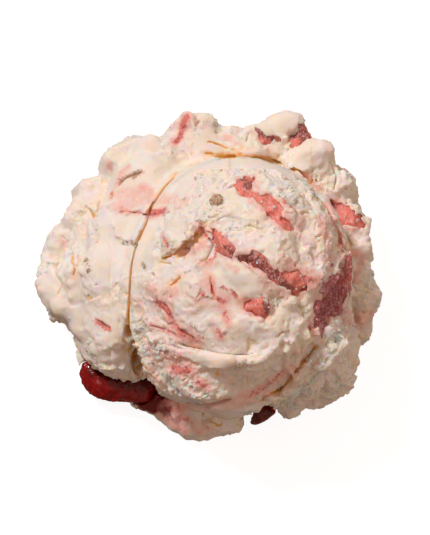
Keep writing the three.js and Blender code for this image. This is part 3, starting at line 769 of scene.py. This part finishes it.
# The cream is opened where the fruit shows, and there the fruit fills it up to its face.
SLAB = 2.2  # fruit that lies deeper than this under the face doesn't show, in mm
FLOOR_DEEP = 0.9  # how deep the cream is cut where fruit shows, in mm
FLUSH = 0.1  # how far under the face the fruit lies, in mm
SHRUNK = 0.35  # how far it sinks at its edge
SLAB_DEEP = 2.6
TUCKED = 0.8  # how far it runs on under the cream round it
WET_BLEND = 1.5
FRUIT_RAGGED = 0.42  # how ragged the edge of the cream is round the fruit
WET_RIGHT_TOP = np.array([[12.2, -28.6, 4.5]])  # in mm
WET_LEFT_TOP = at_height([(93, 373), (104, 381)], 5.5)
chunks["strawberry_front_right"].add(WET_RIGHT_TOP, 3.6, 2.0)
chunks["strawberry_front_left"].add(WET_LEFT_TOP, 3.4, 2.0)
for name, (outline, opened) in FRUIT.items():
    chunk = chunks[name]
    low, high = around(chunk, 2.5)
    reach = np.array(towards_camera) * opened
    low, high = np.minimum(low, low + reach), np.maximum(high, high + reach)
    part, signed, _, _ = cream.inside(outline, low, high, FRUIT_RAGGED)
    skin = cream.skin[part]
    if name in WET_CHUNKS:
        near = (signed > -0.4) & (skin < 2.5)
        opening = np.maximum(swept(chunk, spots(cream, part, near), opened) - 0.2, -signed[near])
        skin[near] = np.maximum(skin[near], -opening)
        part, signed, _, _ = chunk.inside(outline, *around(chunk, ROOM), 0.0)
        pared = chunk.skin[part]
        share = np.clip(0.5 - 0.5 * (pared + signed) / WET_BLEND, 0, 1)
        evened = pared * (1 - share) - signed * share + WET_BLEND * share * (1 - share)
        chunk.skin[part] = np.maximum(pared, evened)
        continue
    near = (signed > -0.4) & (face[part] > -1.6) & (skin < 2.5)
    opening = np.maximum(swept(chunk, spots(cream, part, near), opened) - SLAB, -signed[near])
    skin[near] = np.maximum(skin[near], -np.maximum(opening, -FLOOR_DEEP - face[part][near]))
    part, signed, _, _ = chunk.inside(outline, *around(chunk, ROOM), 0.0)
    skin = chunk.skin[part]
    near = (signed > -1.6) | (skin < BAND)
    level = cream.sample(face, spots(chunk, part, near))
    skin[near] = np.maximum(skin[near], level + 0.6)
    shown = np.zeros(near.shape, bool)
    shown[near] = (signed[near] > -1.6) & (np.abs(level + 1.0) < 2.5)
    level = level[shown[near]]
    depth = swept(chunk, spots(chunk, part, shown), opened) - SLAB
    sunk = SHRUNK * (1 - smooth_step(-0.2, 0.9, signed[shown]))
    slab = np.maximum(level + FLUSH + sunk, -level - SLAB_DEEP)
    slab = np.maximum(slab, np.maximum(-signed[shown] - TUCKED, depth))
    skin[shown] = np.minimum(skin[shown], slab)

# The scoop stands flat on its underside. It is made as two pieces that meet at the edge of the ball.
heights = (cream.low[2] + cream.cube * np.arange(cream.skin.shape[2])).astype(np.float32)
cream.skin = np.maximum(cream.skin, -heights)
# Fine pits and broad hollows are measured here so that the finish can paint shade into them.
PIT_WIDE, HOLLOW_WIDE = 0.7, 2.0  # fine and broad hollows are coloured apart
pit = cream.softened(cream.skin, PIT_WIDE)
hollow = cream.softened(pit, HOLLOW_WIDE)
BALL_AT, BALL_WIDE, BALL_HIGH = (239, 285), 109, 128  # the ball's edge as an ellipse, in pixels
beyond = np.empty(cream.skin.shape, np.float32)
axes = [cream.low[i] + cream.cube * np.arange(n) for i, n in enumerate(cream.skin.shape)]
for level, z in enumerate(axes[2]):
    column, row = cream.seen(axes[0][:, None], axes[1][None, :], z)
    beyond[:, :, level] = np.hypot((column - BALL_AT[0]) / BALL_WIDE, (row - BALL_AT[1]) / BALL_HIGH) - 1
beyond *= BALL_WIDE * PIXEL * MM
OVERLAP = 3.0  # each piece runs on under the other for this far, in mm
SUNK = 0.3  # and lies this far under the other's skin, in mm
bodies = []
for name, side in (("ice_cream_ball", beyond), ("ice_cream_collar", -beyond)):
    tucked = cream.skin + SUNK * smooth_step(0, OVERLAP / 2, side)
    bodies.append(cream.mesh(name, MOST_TRIANGLES, np.maximum(tucked, side - OVERLAP).astype(np.float32)))

# Stains: juice that has run into the cream. A line of pixels, its radius in mm and its strength.
STAINS = [
    ([(187, 116), (182, 124), (183, 131), (179, 138), (174, 143)], 1.6, 0.7),
    ([(168, 128), (204, 124)], 4.0, 0.3), ([(110, 163), (110, 168)], 0.9, 0.6),
    ([(127, 168), (121, 173), (118, 184)], 1.4, 0.7), ([(112, 193), (112, 198)], 1.1, 0.8),
    ([(143, 188), (149, 190), (151, 196)], 1.4, 0.8), ([(118, 205), (135, 203), (150, 198)], 2.6, 0.62),
    ([(120, 196), (140, 194)], 2.4, 0.55), ([(121, 211), (130, 212), (141, 213), (150, 216)], 0.7, 0.9),
    ([(150, 214), (157, 213), (165, 211)], 1.5, 0.9), ([(155, 202), (172, 200), (182, 204)], 2.2, 0.5),
    ([(198, 226), (204, 230), (207, 236)], 1.4, 0.8), ([(182, 252), (192, 250), (202, 244)], 1.8, 0.6),
    ([(162, 234), (168, 246)], 0.9, 0.8), ([(200, 264), (208, 262), (216, 256), (217, 248)], 0.9, 0.7),
    ([(171, 293), (160, 298), (148, 290)], 2.4, 0.6), ([(159, 303), (168, 309), (171, 316)], 2.0, 0.85),
    ([(170, 320), (180, 332), (196, 340)], 2.6, 0.8),
    ([(150, 325), (166, 330), (176, 336), (193, 341)], 0.9, 0.85), ([(140, 303), (146, 318)], 2.2, 0.5),
    ([(150, 345), (152, 358)], 1.8, 0.6), ([(166, 356), (178, 358), (185, 362)], 2.0, 0.75),
    ([(174, 368), (182, 371), (189, 370)], 2.0, 0.9), ([(198, 382), (207, 387)], 1.6, 0.8),
    ([(150, 368), (158, 384)], 1.8, 0.5), ([(205, 280), (220, 296), (226, 300)], 2.4, 0.6),
    ([(213, 278), (213, 294)], 0.6, 0.9), ([(196, 300), (216, 300)], 2.4, 0.5),
    ([(223, 308), (228, 322)], 1.6, 0.75), ([(243, 302), (256, 306)], 1.8, 0.8),
    ([(217, 331), (221, 337)], 1.4, 0.75), ([(245, 396), (264, 386), (283, 374)], 2.2, 0.62),
    ([(235, 404), (262, 395), (290, 372)], 3.0, 0.5), ([(282, 366), (300, 352), (320, 340)], 1.6, 0.4),
    ([(296, 232), (302, 222), (300, 214)], 2.2, 0.5), ([(322, 222), (330, 245), (330, 266)], 2.4, 0.62),
    ([(326, 205), (338, 232), (341, 250)], 1.3, 0.8), ([(284, 260), (292, 266), (302, 270)], 1.6, 0.65),
    ([(262, 282), (282, 296)], 1.8, 0.5), ([(295, 272), (318, 282)], 2.6, 0.8),
    ([(225, 262), (236, 270)], 1.0, 0.5), ([(143, 384), (160, 395), (175, 405)], 3.4, 0.95),
    ([(140, 400), (158, 408), (172, 421), (183, 430)], 2.0, 0.9),
    ([(180, 418), (195, 428), (205, 430)], 2.5, 0.5), ([(190, 408), (215, 406), (245, 402)], 2.2, 0.45),
    ([(181, 418), (187, 421)], 1.4, 0.8), ([(222, 400), (240, 404)], 2.2, 0.6),
    ([(224, 376), (236, 384)], 1.6, 0.4), ([(330, 203), (345, 208), (356, 222)], 2.0, 0.5),
    ([(345, 318), (360, 325), (372, 318)], 3.2, 0.6), ([(352, 232), (360, 236)], 1.3, 0.5),
    ([(246, 128), (262, 142), (274, 140)], 1.2, 0.35), ([(226, 137), (236, 142)], 1.2, 0.6),
    ([(62, 240), (66, 246)], 1.5, 0.45), ([(52, 255), (54, 258)], 1.3, 0.45),
    ([(180, 285), (205, 310), (225, 325)], 5.0, 0.3), ([(150, 300), (165, 345), (185, 385)], 6.0, 0.34),
    ([(168, 128), (200, 128)], 5.0, 0.25), ([(240, 130), (262, 138)], 3.0, 0.25),
    ([(120, 190), (140, 205)], 5.0, 0.3), ([(306, 176), (314, 184), (318, 192)], 1.6, 0.5),
    ([(205, 270), (216, 262)], 1.2, 0.4), ([(304, 236), (314, 256)], 2.6, 0.35),
]
HALO_WIDE, HALO, FAINT_HALO = 1.3, 0.62, 0.15
HALOES = [(outline + outline[:1], HALO_WIDE, FAINT_HALO if "back" in name else HALO)
          for name, (outline, _) in FRUIT.items() if name not in WET_CHUNKS]
# Shreds of fruit that lie flush in the cream, marked in the same way.
FLESHY = [
    ([(187, 116), (182, 124), (183, 131), (179, 138), (174, 143)], 0.75, 1.0),
    ([(152, 213), (157, 212.5), (163, 211)], 1.0, 1.0), ([(140, 213), (148, 215)], 0.4, 0.6),
    ([(203, 229), (206, 235)], 0.6, 1.0), ([(159, 303), (168, 309), (171, 316)], 0.9, 1.0),
    ([(174, 324), (181, 332), (190, 336)], 0.9, 0.8), ([(174, 368), (182, 371), (188, 370)], 0.9, 0.9),
    ([(200, 383), (205, 386)], 0.7, 0.8), ([(202, 292), (203, 295)], 0.5, 1.0),
    ([(212, 286), (214, 295)], 0.5, 1.0), ([(224, 287), (226, 290)], 0.5, 1.0),
    ([(231, 291), (236, 296)], 0.6, 1.0), ([(218, 299), (223, 302)], 0.8, 0.9),
    ([(225, 314), (227, 320)], 0.7, 0.8), ([(303, 277), (312, 280)], 0.8, 0.8),
    ([(298, 286), (304, 288)], 1.0, 0.9), ([(219, 332), (221, 336)], 0.7, 0.7),
    ([(250, 396), (266, 386), (280, 376)], 0.9, 0.62), ([(111, 193), (112, 197)], 0.5, 0.8),
    ([(206, 262), (215, 257), (217, 249)], 0.4, 0.7), ([(164, 238), (168, 246)], 0.4, 0.8),
    ([(182, 418), (188, 421)], 0.6, 0.7), ([(284, 200), (291, 207), (295, 210)], 0.7, 0.7),
    ([(276, 380), (284, 372)], 0.5, 0.5), ([(97, 321), (104, 326), (110, 329)], 0.9, 1.0),
    ([(340, 232), (343, 246)], 0.5, 0.7), ([(350, 322), (356, 328)], 0.7, 0.5),
    ([(156, 340), (152, 352)], 0.6, 0.5),
]
# Brown specks where biscuit has crumbled, marked in the same way. The patch at the upper right, at (313,
# 176), is painted shade in a translucent hollow.
BROWNS = [
    ([(132, 242), (137, 246)], 0.8, 0.7), ([(85, 259), (89, 270)], 1.0, 0.6),
    ([(143, 264), (146, 268)], 0.7, 0.9), ([(231, 368), (244, 365)], 1.8, 0.6),
    ([(134, 176), (140, 173)], 1.0, 1.0), ([(313, 176), (322, 178), (320, 185)], 1.6, 0.5),
    ([(120, 181), (132, 175), (142, 173)], 1.0, 0.7),
]
# Cream at the foot that the juice has soaked.
WETS = [
    ([(140, 380), (150, 384), (158, 394)], 2.6, 1.0), ([(138, 400), (150, 406)], 2.4, 1.0),
    ([(152, 402), (166, 410)], 2.6, 0.6), ([(164, 412), (180, 420)], 2.4, 0.46),
    ([(180, 420), (200, 430)], 2.2, 0.38),
]


def marked(clay, marks, places):
    """How strongly each place is marked by the strongest of some lines of pixels near it."""
    strength = np.zeros(len(places))
    for pixels, radius, most in marks:
        line, _ = clay.trail(pixels, radius / 3)
        if not len(line):
            continue
        near = np.all((places > line.min(0) - 2 * radius) & (places < line.max(0) + 2 * radius), axis=1)
        away = np.full(near.sum(), 1e9)
        for place in line:
            away = np.minimum(away, np.linalg.norm(places[near] - place, axis=1))
        faded = most * (1 - smooth_step(0.25 * radius, 1.7 * radius, away))
        strength[near] = np.maximum(strength[near], faded)
    return strength


def keep(mesh, name, values):
    mesh.attributes.new(name, "FLOAT", "POINT").data.foreach_set("value", np.asarray(values, np.float32))


# Folds and pits painted with an orange glow, which stands in for the light that gets far into the cream
# there.
DEEP_FOLDS = 15
PAINTED_GLOW_MARKS = [(pixels, 1.2 * wide + 0.5, 1.0) for pixels, wide, _ in CREASES[:DEEP_FOLDS]]
PAINTED_GLOW_MARKS += [([(83, 206), (84, 212)], 0.8, 1.0), ([(94, 213), (96, 217)], 0.7, 1.0),
 ([(72, 256), (74, 276)], 0.8, 0.8),
           ([(88, 294), (90, 298)], 0.7, 1.0), ([(216, 428), (223, 427)], 1.2, 1.0),
           ([(217, 375), (216, 360)], 0.6, 0.7),
           ([(344, 238), (352, 250)], 1.6, 1.0), ([(178, 254), (190, 243), (204, 231)], 2.0, 0.8),
           ([(222, 156), (245, 156), (268, 159)], 2.4, 1.0)]
PAINTED_GLOW_MARKS += [(pixels, 0.8, 0.8) for pixels, wide, deep in CREASES if 0.5 <= wide <= 0.7 and deep <= 1.2]
clumps = cream.grain(3.5, 71)
for body in bodies:
    places = np.empty(len(body.data.vertices) * 3, np.float32)
    body.data.vertices.foreach_get("co", places)
    places = places.reshape(-1, 3).astype(float) * MM
    keep(body.data, "brown", marked(cream, BROWNS, places))
    keep(body.data, "wet", marked(cream, WETS, places))
    keep(body.data, "torn", cream.sample(torn, places))
    keep(body.data, "pit", np.clip(-cream.sample(pit, places) / 0.35, -1, 2))
    keep(body.data, "hollow", np.clip(-cream.sample(hollow, places) / 1.2, -1, 2))
    keep(body.data, "painted_glow", marked(cream, PAINTED_GLOW_MARKS, places))
    keep(body.data, "stain", marked(cream, STAINS + HALOES, places))
    keep(body.data, "flesh", marked(cream, FLESHY, places))
    rising = np.clip(places[:, 2] - 1.0, 0, 1)
    rough = np.clip(cream.sample(torn, places), 0, 1)
    keep(body.data, "loose", rough ** 2 * rising * smooth_step(-0.2, 0.9, cream.sample(clumps, places)))
    keep(body.data, "fruity", np.clip(marked(cream, FLESHY, places) - 0.3, 0, 1) * rising)


class Wire:
    """A socket in a material. Arithmetic on wires adds Math nodes."""

    def __init__(self, tree, socket):
        self.tree, self.socket = tree, socket

    def node(self, kind, settings=(), sockets=(), out=0):
        """Adds a node: its settings first, then values or links of its sockets. Gives one output."""
        made = self.tree.nodes.new(kind)
        for name, value in dict(settings).items():
            setattr(made, name, value)
        for name, value in dict(sockets).items():
            if isinstance(value, Wire):
                self.tree.links.new(value.socket, made.inputs[name])
            else:
                made.inputs[name].default_value = value
        return Wire(self.tree, made.outputs[out])

    def maths(self, operation, first, second):
        return self.node("ShaderNodeMath", {"operation": operation}, {0: first, 1: second})

    def __add__(self, other):
        return self.maths("ADD", self, other)

    def __sub__(self, other):
        return self.maths("SUBTRACT", self, other)

    def __rsub__(self, other):
        return self.maths("SUBTRACT", other, self)

    def __mul__(self, other):
        return self.maths("MULTIPLY", self, other)

    __radd__, __rmul__ = __add__, __mul__

    def named(self, attribute):
        """A value kept on the mesh under that name."""
        return self.node("ShaderNodeAttribute", {"attribute_name": attribute}, out=2)

    def noise(self, size, detail=2.0, seed=0.0):
        """Noise from 0 to 1 with bumps size mm wide."""
        return self.node("ShaderNodeTexNoise", {"noise_dimensions": "4D"},
                         {"Vector": self, "W": seed, "Scale": MM / size, "Detail": detail})

    def step(self, low, high):
        """0 below low and 1 above high, with a soft step between."""
        return self.node("ShaderNodeMapRange", {"interpolation_type": "SMOOTHSTEP"},
                         {"Value": self, "From Min": low, "From Max": high})

    def tone(self, first, second):
        """The first colour where this value is 0, the second where it is 1."""
        colours = [c if isinstance(c, Wire) else (*c, 1) for c in (first, second)]
        sockets = {0: self, 6: colours[0], 7: colours[1]}
        return self.node("ShaderNodeMix", {"data_type": "RGBA"}, sockets, out=2)


def new_finish(name):
    """A new material: the material, its shader's sockets and a wire with object coordinates."""
    made = bpy.data.materials.new(name)
    made.use_nodes = True
    shader = made.node_tree.nodes["Principled BSDF"]
    place = Wire(made.node_tree, shader.outputs[0]).node("ShaderNodeTexCoord", out=3)
    return made, shader.inputs, place


def join(wire, socket):
    wire.tree.links.new(wire.socket, socket)


WARM_CREAM = (0.88, 0.78, 0.675)
COOL_CREAM = (0.87, 0.80, 0.775)
# Painted shade for broad hollows.
PAINTED_HOLLOW_SHADE = (0.88, 0.60, 0.36)
# Painted shade for fine pits.
PAINTED_PIT_SHADE = (0.90, 0.66, 0.33)
# Painted glow: the orange painted into deep folds and pits.
PAINTED_GLOW_ORANGE = (0.92, 0.56, 0.22)
PALE_PINK = (0.86, 0.50, 0.45)
RED_JUICE = (0.72, 0.19, 0.165)
DEEP_JUICE = (0.45, 0.06, 0.05)
DARK_JUICE = (0.20, 0.02, 0.02)
BISCUIT_AND_SHADE_BROWN = (0.44, 0.26, 0.16)

cream_finish, sockets, place = new_finish("churned_cream")
hollow_here = place.named("hollow")
torn_here = place.named("torn")
stain_here = place.named("stain")
streaks = place.noise(5.0, 3.0, 1.0)
colour = streaks.step(0.35, 0.65).tone(WARM_CREAM, COOL_CREAM)
bend = place.node("ShaderNodeTexNoise", {}, {"Vector": place, "Scale": MM / 0.8}, out=1)
BENT = (0.0005, 0.0005, 0.0005)
bent = place.node("ShaderNodeVectorMath", {"operation": "MULTIPLY_ADD"}, {0: bend, 1: BENT, 2: place})
crumb = bent.node("ShaderNodeTexVoronoi", {}, {"Vector": bent, "Scale": MM / 0.95}, out=0)
# Painted shade: broad hollows are painted a darker orange cream.
deep = (hollow_here + 0.6 * place.noise(1.6, 2.0, 2.0)).step(0.6, 1.6)
colour = deep.tone(colour, PAINTED_HOLLOW_SHADE)
# Painted shade: fine pits are painted gold, in patches.
painted_pit_shade_mask = (place.named("pit") + 0.8 * place.noise(1.1, 2.0, 8.0)).step(0.7, 1.4)
painted_pit_shade_mask = painted_pit_shade_mask * place.noise(5.0, 2.0, 9.0).step(0.35, 0.55)
colour = (0.75 * painted_pit_shade_mask).tone(colour, PAINTED_PIT_SHADE)
# Painted glow: folds and pits marked for it are painted orange where they lie deep.
painted_glow = place.named("painted_glow") * (place.named("pit") + 0.35).step(0.0, 0.6)
colour = painted_glow.tone(colour, PAINTED_GLOW_ORANGE)
mottle = place.noise(1.3, 4.0, 3.0)
pink = (stain_here + 0.9 * (mottle - 0.5)).step(0.12, 0.85)
colour = (0.9 * pink).tone(colour, PALE_PINK)
flecked = place.noise(0.8, 4.0, 4.0)
red = (stain_here + 1.6 * (flecked - 0.5)).step(0.75, 1.25)
colour = (0.75 * red).tone(colour, RED_JUICE)
shreds = place.noise(0.6, 5.0, 11.0)
flesh = (place.named("flesh") + 1.9 * (shreds - 0.5)).step(0.3, 0.9)
colour = (0.85 * flesh).tone(colour, place.noise(1.0, 3.0, 7.0).step(0.5, 0.75).tone(RED_JUICE, DEEP_JUICE))
colour = (place.named("wet") + 0.5 * (mottle - 0.5)).step(0.35, 0.7).tone(colour, DARK_JUICE)
# Biscuit specks, and one patch of painted shade at the upper right, are painted brown.
brown = (place.named("brown") + 2.0 * (place.noise(0.4, 4.0, 12.0) - 0.5)).step(0.35, 0.9)
colour = (0.8 * brown).tone(colour, BISCUIT_AND_SHADE_BROWN)
join(colour, sockets["Base Color"])
wet_here = place.named("wet").step(0.3, 0.8)
join(0.72 - 0.5 * wet_here, sockets["Roughness"])
sockets["Subsurface Weight"].default_value = 1.0
sockets["Subsurface Radius"].default_value = (1.0, 0.50, 0.28)
sockets["Subsurface Scale"].default_value = 0.0009
sockets["Specular IOR Level"].default_value = 0.25
height = (0.5 * place.noise(0.5, 3.0, 5.0) - crumb) * torn_here.step(0.1, 0.9)
height = height + 0.2 * place.noise(1.2, 4.0, 6.0)
CREAM_BUMP = {"Strength": 0.7, "Distance": 0.00028}
join(place.node("ShaderNodeBump", {}, {"Height": height, **CREAM_BUMP}), sockets["Normal"])
SHARP_FOLD = math.radians(80)
for body in bodies:
    body.data.materials.append(cream_finish)
    body.data.shade_smooth()
    body.data.set_sharp_from_angle(angle=SHARP_FOLD)
    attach(body, "root")
    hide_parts("ice_cream")

# The fruit: chunks of strawberry, frozen in the cream or wet with juice. Each is sculpted from its
# node like the cream, with fibres in the flesh, and shows where the cream has been opened.
CORAL = (0.78, 0.20, 0.155)
DEEP_RED = (0.30, 0.07, 0.06)
FROST = (0.80, 0.50, 0.47)
PALE_FROST = (0.74, 0.50, 0.53)
PLUM = (0.46, 0.13, 0.155)
RASPBERRY = (0.62, 0.16, 0.16)
WET_RED = (0.27, 0.0015, 0.003)
WET_DARK = (0.10, 0.002, 0.003)
FLESH_BUMP = 0.00018  # in m
# Lighter red specks painted on the wet fruit as glints.
PAINTED_WET_GLINT = (0.40, 0.02, 0.02)
FIBRE_TURN, FIBRE_STRETCH = (0.3, 0.2, 0.7), (1.0, 0.55, 1.0)
# Darker places on the fruit: for each node, lines of pixels, a radius in mm and a strength.
DARKS = {
    "strawberry_upper_strip": [([(243, 180), (250, 182), (248, 186)], 1.2, 0.85),
     ([(276, 196), (290, 206)], 0.8, 0.8)],
    "strawberry_middle_left": [([(226, 246), (234, 254)], 0.8, 0.7)],
    "strawberry_middle_right": [([(236, 258), (252, 258), (264, 266)], 1.4, 1.0),
     ([(268, 272), (282, 281), (290, 290)], 1.3, 0.8)],
    "strawberry_small": [([(266, 303), (268, 311)], 1.0, 0.9)],
    "strawberry_right_collar": [([(330, 203), (334, 212)], 1.0, 0.9)],
    "strawberry_right": [([(346, 252), (354, 262), (350, 272)], 4.2, 1.0)],
    "strawberry_front_left": [([(96, 370), (122, 380), (146, 384)], 2.2, 0.9)],
    "strawberry_front_right": [([(258, 404), (262, 414), (252, 422)], 3.0, 0.9)],
    "strawberry_back": [([(257, 130), (268, 137), (280, 139)], 0.9, 0.8)],
    "strawberry_back_right": [([(294, 136), (301, 128), (306, 138)], 1.8, 1.0)],
}


def fleshy(name, base, dark, frost_and_glint, amount, shine, bump, mirror):
    """A finish for fruit: two tones of flesh, frost in fine specks (painted glints on wet fruit), how shiny
    and how rough it is.
    """
    made, sockets, place = new_finish(name)
    tone = (place.named("dark") + 1.5 * (place.noise(1.4, 5.0, 1.0) - 0.5)).step(0.2, 0.8)
    colour = tone.tone(base, dark)
    fibres = place.node("ShaderNodeMapping", {}, {
        "Vector": place, "Rotation": FIBRE_TURN, "Scale": FIBRE_STRETCH})
    specks = fibres.noise(0.4, 5.0, 2.0).step(0.46, 0.66) * (0.2 + place.noise(2.0, 3.0, 3.0))
    colour = (amount * specks).tone(colour, frost_and_glint)
    join(colour, sockets["Base Color"])
    join(shine + 0.35 * specks, sockets["Roughness"])
    sockets["Specular IOR Level"].default_value = mirror
    sockets["Subsurface Weight"].default_value = 0.7
    sockets["Subsurface Radius"].default_value = (1.0, 0.25, 0.15)
    sockets["Subsurface Scale"].default_value = 0.0008
    grit = place.noise(0.5, 4.0, 4.0)
    bumps = {"Height": grit, "Strength": bump, "Distance": FLESH_BUMP}
    join(place.node("ShaderNodeBump", {}, bumps), sockets["Normal"])
    return made


FLESH = fleshy("strawberry_flesh", CORAL, DEEP_RED, FROST, 1.0, 0.42, 0.9, 0.5)
FROSTED = fleshy("strawberry_frosted", PLUM, RASPBERRY, PALE_FROST, 1.3, 0.55, 1.0, 0.5)
WET = fleshy("strawberry_wet", WET_RED, WET_DARK, PAINTED_WET_GLINT, 0.3, 0.10, 0.5, 0.4)
CHUNK_SOFTENED = 0.5
FROSTED_WRINKLES, WRINKLES = 0.28, 0.18
CHUNK_TRIANGLES = 30000
FINISHES = {
    "strawberry_right": ("strawberry_frosted", FROSTED), "strawberry_front_left": ("strawberry_wet", WET),
    "strawberry_front_right": ("strawberry_wet", WET)}
CRUMBED = 0.07  # how thickly crumbs of cream lie on the dry fruit
fruit = []
for name, chunk in chunks.items():
    slot, finish = FINISHES.get(name, ("strawberry", FLESH))
    chunk.skin = chunk.softened(chunk.skin, CHUNK_SOFTENED)
    wrinkles = FROSTED_WRINKLES if slot == "strawberry_frosted" else WRINKLES
    chunk.skin -= wrinkles * (0.8 - np.abs(chunk.grain(1.3, 61))) + 0.08 * chunk.grain(0.6, 62)
    levels = (chunk.low[2] + chunk.cube * np.arange(chunk.skin.shape[2])).astype(np.float32)
    chunk.skin = np.maximum(chunk.skin, -levels)
    piece = chunk.mesh(name + "_chunk", CHUNK_TRIANGLES)
    places = np.empty(len(piece.data.vertices) * 3, np.float32)
    piece.data.vertices.foreach_get("co", places)
    keep(piece.data, "dark", marked(chunk, DARKS.get(name, []), places.reshape(-1, 3).astype(float) * MM))
    crumbed = CRUMBED if slot == "strawberry" and "back" not in name else 0
    keep(piece.data, "loose", np.full(len(piece.data.vertices), crumbed))
    piece.data.materials.append(finish)
    piece.data.shade_smooth()
    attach(piece, "root")
    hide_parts(name)
    fruit.append(piece)


# Biscuit crumbs, stirred into the cream: each a rounded lump of baked crumb, set almost flush. The list
# has the pixel, the radius in mm, and how far it is sunk as a share of the radius.
BISCUITS = [((216, 200), 1.65, 0.45), ((144, 267), 0.45, 0.6), ((86, 260), 0.75, 0.6),
 ((88, 271), 0.6, 0.6),
            ((123, 243), 0.4, 0.5), ((127, 242), 0.35, 0.5), ((134, 245), 0.45, 0.6)]
PALE_BISCUIT = (0.64, 0.45, 0.32)
BAKED_BISCUIT = (0.32, 0.18, 0.10)
BISCUIT_BUMPS, BISCUIT_ROUGH = 1.6, 0.22
BISCUITS_APART = 7.1  # so that no two have the same bumps
crumbs = bmesh.new()
for number, (pixel, radius, sunk) in enumerate(BISCUITS):
    places, out = cream.trail([pixel])
    if not len(places):
        continue
    lump = bmesh.ops.create_icosphere(crumbs, subdivisions=4, radius=1)["verts"]
    for vertex in lump:
        bumps = turbulence(vertex.co * BISCUIT_BUMPS + Vector((number * BISCUITS_APART, 0, 0)), 4, False)
        centre = Vector(places[0] - out[0] * sunk * radius)
        vertex.co = (centre + vertex.co * radius * (1.0 + BISCUIT_ROUGH * bumps)) / MM
biscuit_mesh = bpy.data.meshes.new("biscuit_crumbs")
crumbs.to_mesh(biscuit_mesh)
crumbs.free()
biscuits = bpy.data.objects.new("biscuit_crumbs", biscuit_mesh)
bpy.context.scene.collection.objects.link(biscuits)
biscuit_finish, sockets, place = new_finish("baked_biscuit")
toast = place.noise(0.5, 3.0, 1.0).step(0.42, 0.62)
join(toast.tone(PALE_BISCUIT, BAKED_BISCUIT), sockets["Base Color"])
sockets["Roughness"].default_value = 0.75
grains = {"Height": place.noise(0.35, 3.0, 2.0), "Strength": 1.0, "Distance": 0.0003}
join(place.node("ShaderNodeBump", {}, grains), sockets["Normal"])
biscuit_mesh.materials.append(biscuit_finish)
biscuit_mesh.shade_smooth()
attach(biscuits, "root")


# Loose granules of cream and flecks of fruit, broken off where the dipper tore the ice cream.
# Geometry nodes scatter them over the body, thickest where an attribute says so.
def scattered(name, carrier, density, thick, least, most, seed, finish):
    """A piece made of small lumps scattered over the carrier."""
    tree = bpy.data.node_groups.new(name, "GeometryNodeTree")
    for label, kind in (("Geometry", "NodeSocketGeometry"), ("Thickly", "NodeSocketFloat"),
                        ("Smallest", "NodeSocketFloat"), ("Largest", "NodeSocketFloat")):
        tree.interface.new_socket(label, in_out="INPUT", socket_type=kind)
    tree.interface.new_socket("Geometry", in_out="OUTPUT", socket_type="NodeSocketGeometry")
    given, result = tree.nodes.new("NodeGroupInput"), tree.nodes.new("NodeGroupOutput")

    def node(kind, settings=(), sockets=()):
        made = tree.nodes.new(kind)
        for key, value in dict(settings).items():
            setattr(made, key, value)
        for key, value in dict(sockets).items():
            if isinstance(value, bpy.types.NodeSocket):
                tree.links.new(value, made.inputs[key])
            else:
                made.inputs[key].default_value = value
        return made

    where = node("GeometryNodeInputNamedAttribute", {"data_type": "FLOAT"}, {"Name": density})
    often = node("ShaderNodeMath", {"operation": "MULTIPLY"}, {
        0: where.outputs[0], 1: given.outputs["Thickly"]})
    points = node("GeometryNodeDistributePointsOnFaces", {}, {
        "Mesh": given.outputs["Geometry"], "Density": often.outputs[0], "Seed": seed})
    lump = node("GeometryNodeMeshIcoSphere", {}, {"Radius": 1.0, "Subdivisions": 1})
    turn = node("FunctionNodeRandomValue", {"data_type": "FLOAT_VECTOR"}, {
        "Min": (0, 0, 0), "Max": (6.28, 6.28, 6.28), "Seed": seed + 1})
    size = node("FunctionNodeRandomValue", {"data_type": "FLOAT"}, {
        2: given.outputs["Smallest"], 3: given.outputs["Largest"], "Seed": seed + 2})
    shape = node("FunctionNodeRandomValue", {"data_type": "FLOAT_VECTOR"}, {
        "Min": (0.6, 0.6, 0.6), "Max": (1.3, 1.3, 1.3), "Seed": seed + 3})
    scale = node("ShaderNodeVectorMath", {"operation": "SCALE"}, {
        0: shape.outputs[0], "Scale": size.outputs[1]})
    laid = node("GeometryNodeInstanceOnPoints", {}, {
        "Points": points.outputs["Points"], "Instance": lump.outputs[0], "Rotation": turn.outputs[0],
        "Scale": scale.outputs[0]})
    real = node("GeometryNodeRealizeInstances", {}, {"Geometry": laid.outputs[0]})
    soft = node("GeometryNodeSetShadeSmooth", {}, {"Geometry": real.outputs[0]})
    done = node("GeometryNodeSetMaterial", {}, {"Geometry": soft.outputs[0], "Material": finish})
    tree.links.new(done.outputs[0], result.inputs[0])
    holder = bpy.data.objects.new(name, carrier)
    bpy.context.scene.collection.objects.link(holder)
    spread = holder.modifiers.new("spread", "NODES")
    spread.node_group = tree
    for label, value in (("Thickly", thick), ("Smallest", least), ("Largest", most)):
        spread[tree.interface.items_tree[label].identifier] = value
    graph = bpy.context.evaluated_depsgraph_get()
    holder.data = bpy.data.meshes.new_from_object(holder.evaluated_get(graph))
    holder.modifiers.clear()
    return holder


GRANULES_PER_M2, FLECKS_PER_M2 = 1.2e6, 1.2e6
GRANULE_SIZES, FLECK_SIZES = (0.00012, 0.00034), (0.00010, 0.00028)  # radius in m
FLECK_RED, FLECK_DARK = (0.60, 0.10, 0.09), (0.30, 0.02, 0.025)
whole = bmesh.new()
for body in bodies + fruit:
    whole.from_mesh(body.data)
whole_mesh = bpy.data.meshes.new("whole_skin")
whole.to_mesh(whole_mesh)
whole.free()
granules = scattered(
    "cream_granules", whole_mesh, "loose", GRANULES_PER_M2, *GRANULE_SIZES, 3, cream_finish)
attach(granules, "root")
fleck_finish, sockets, place = new_finish("strawberry_fleck")
join(place.noise(0.6, 2.0, 1.0).step(0.35, 0.65).tone(FLECK_RED, FLECK_DARK), sockets["Base Color"])
sockets["Roughness"].default_value = 0.4
flecks = scattered("strawberry_flecks", whole_mesh, "fruity", FLECKS_PER_M2, *FLECK_SIZES, 7, fleck_finish)
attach(flecks, "root")
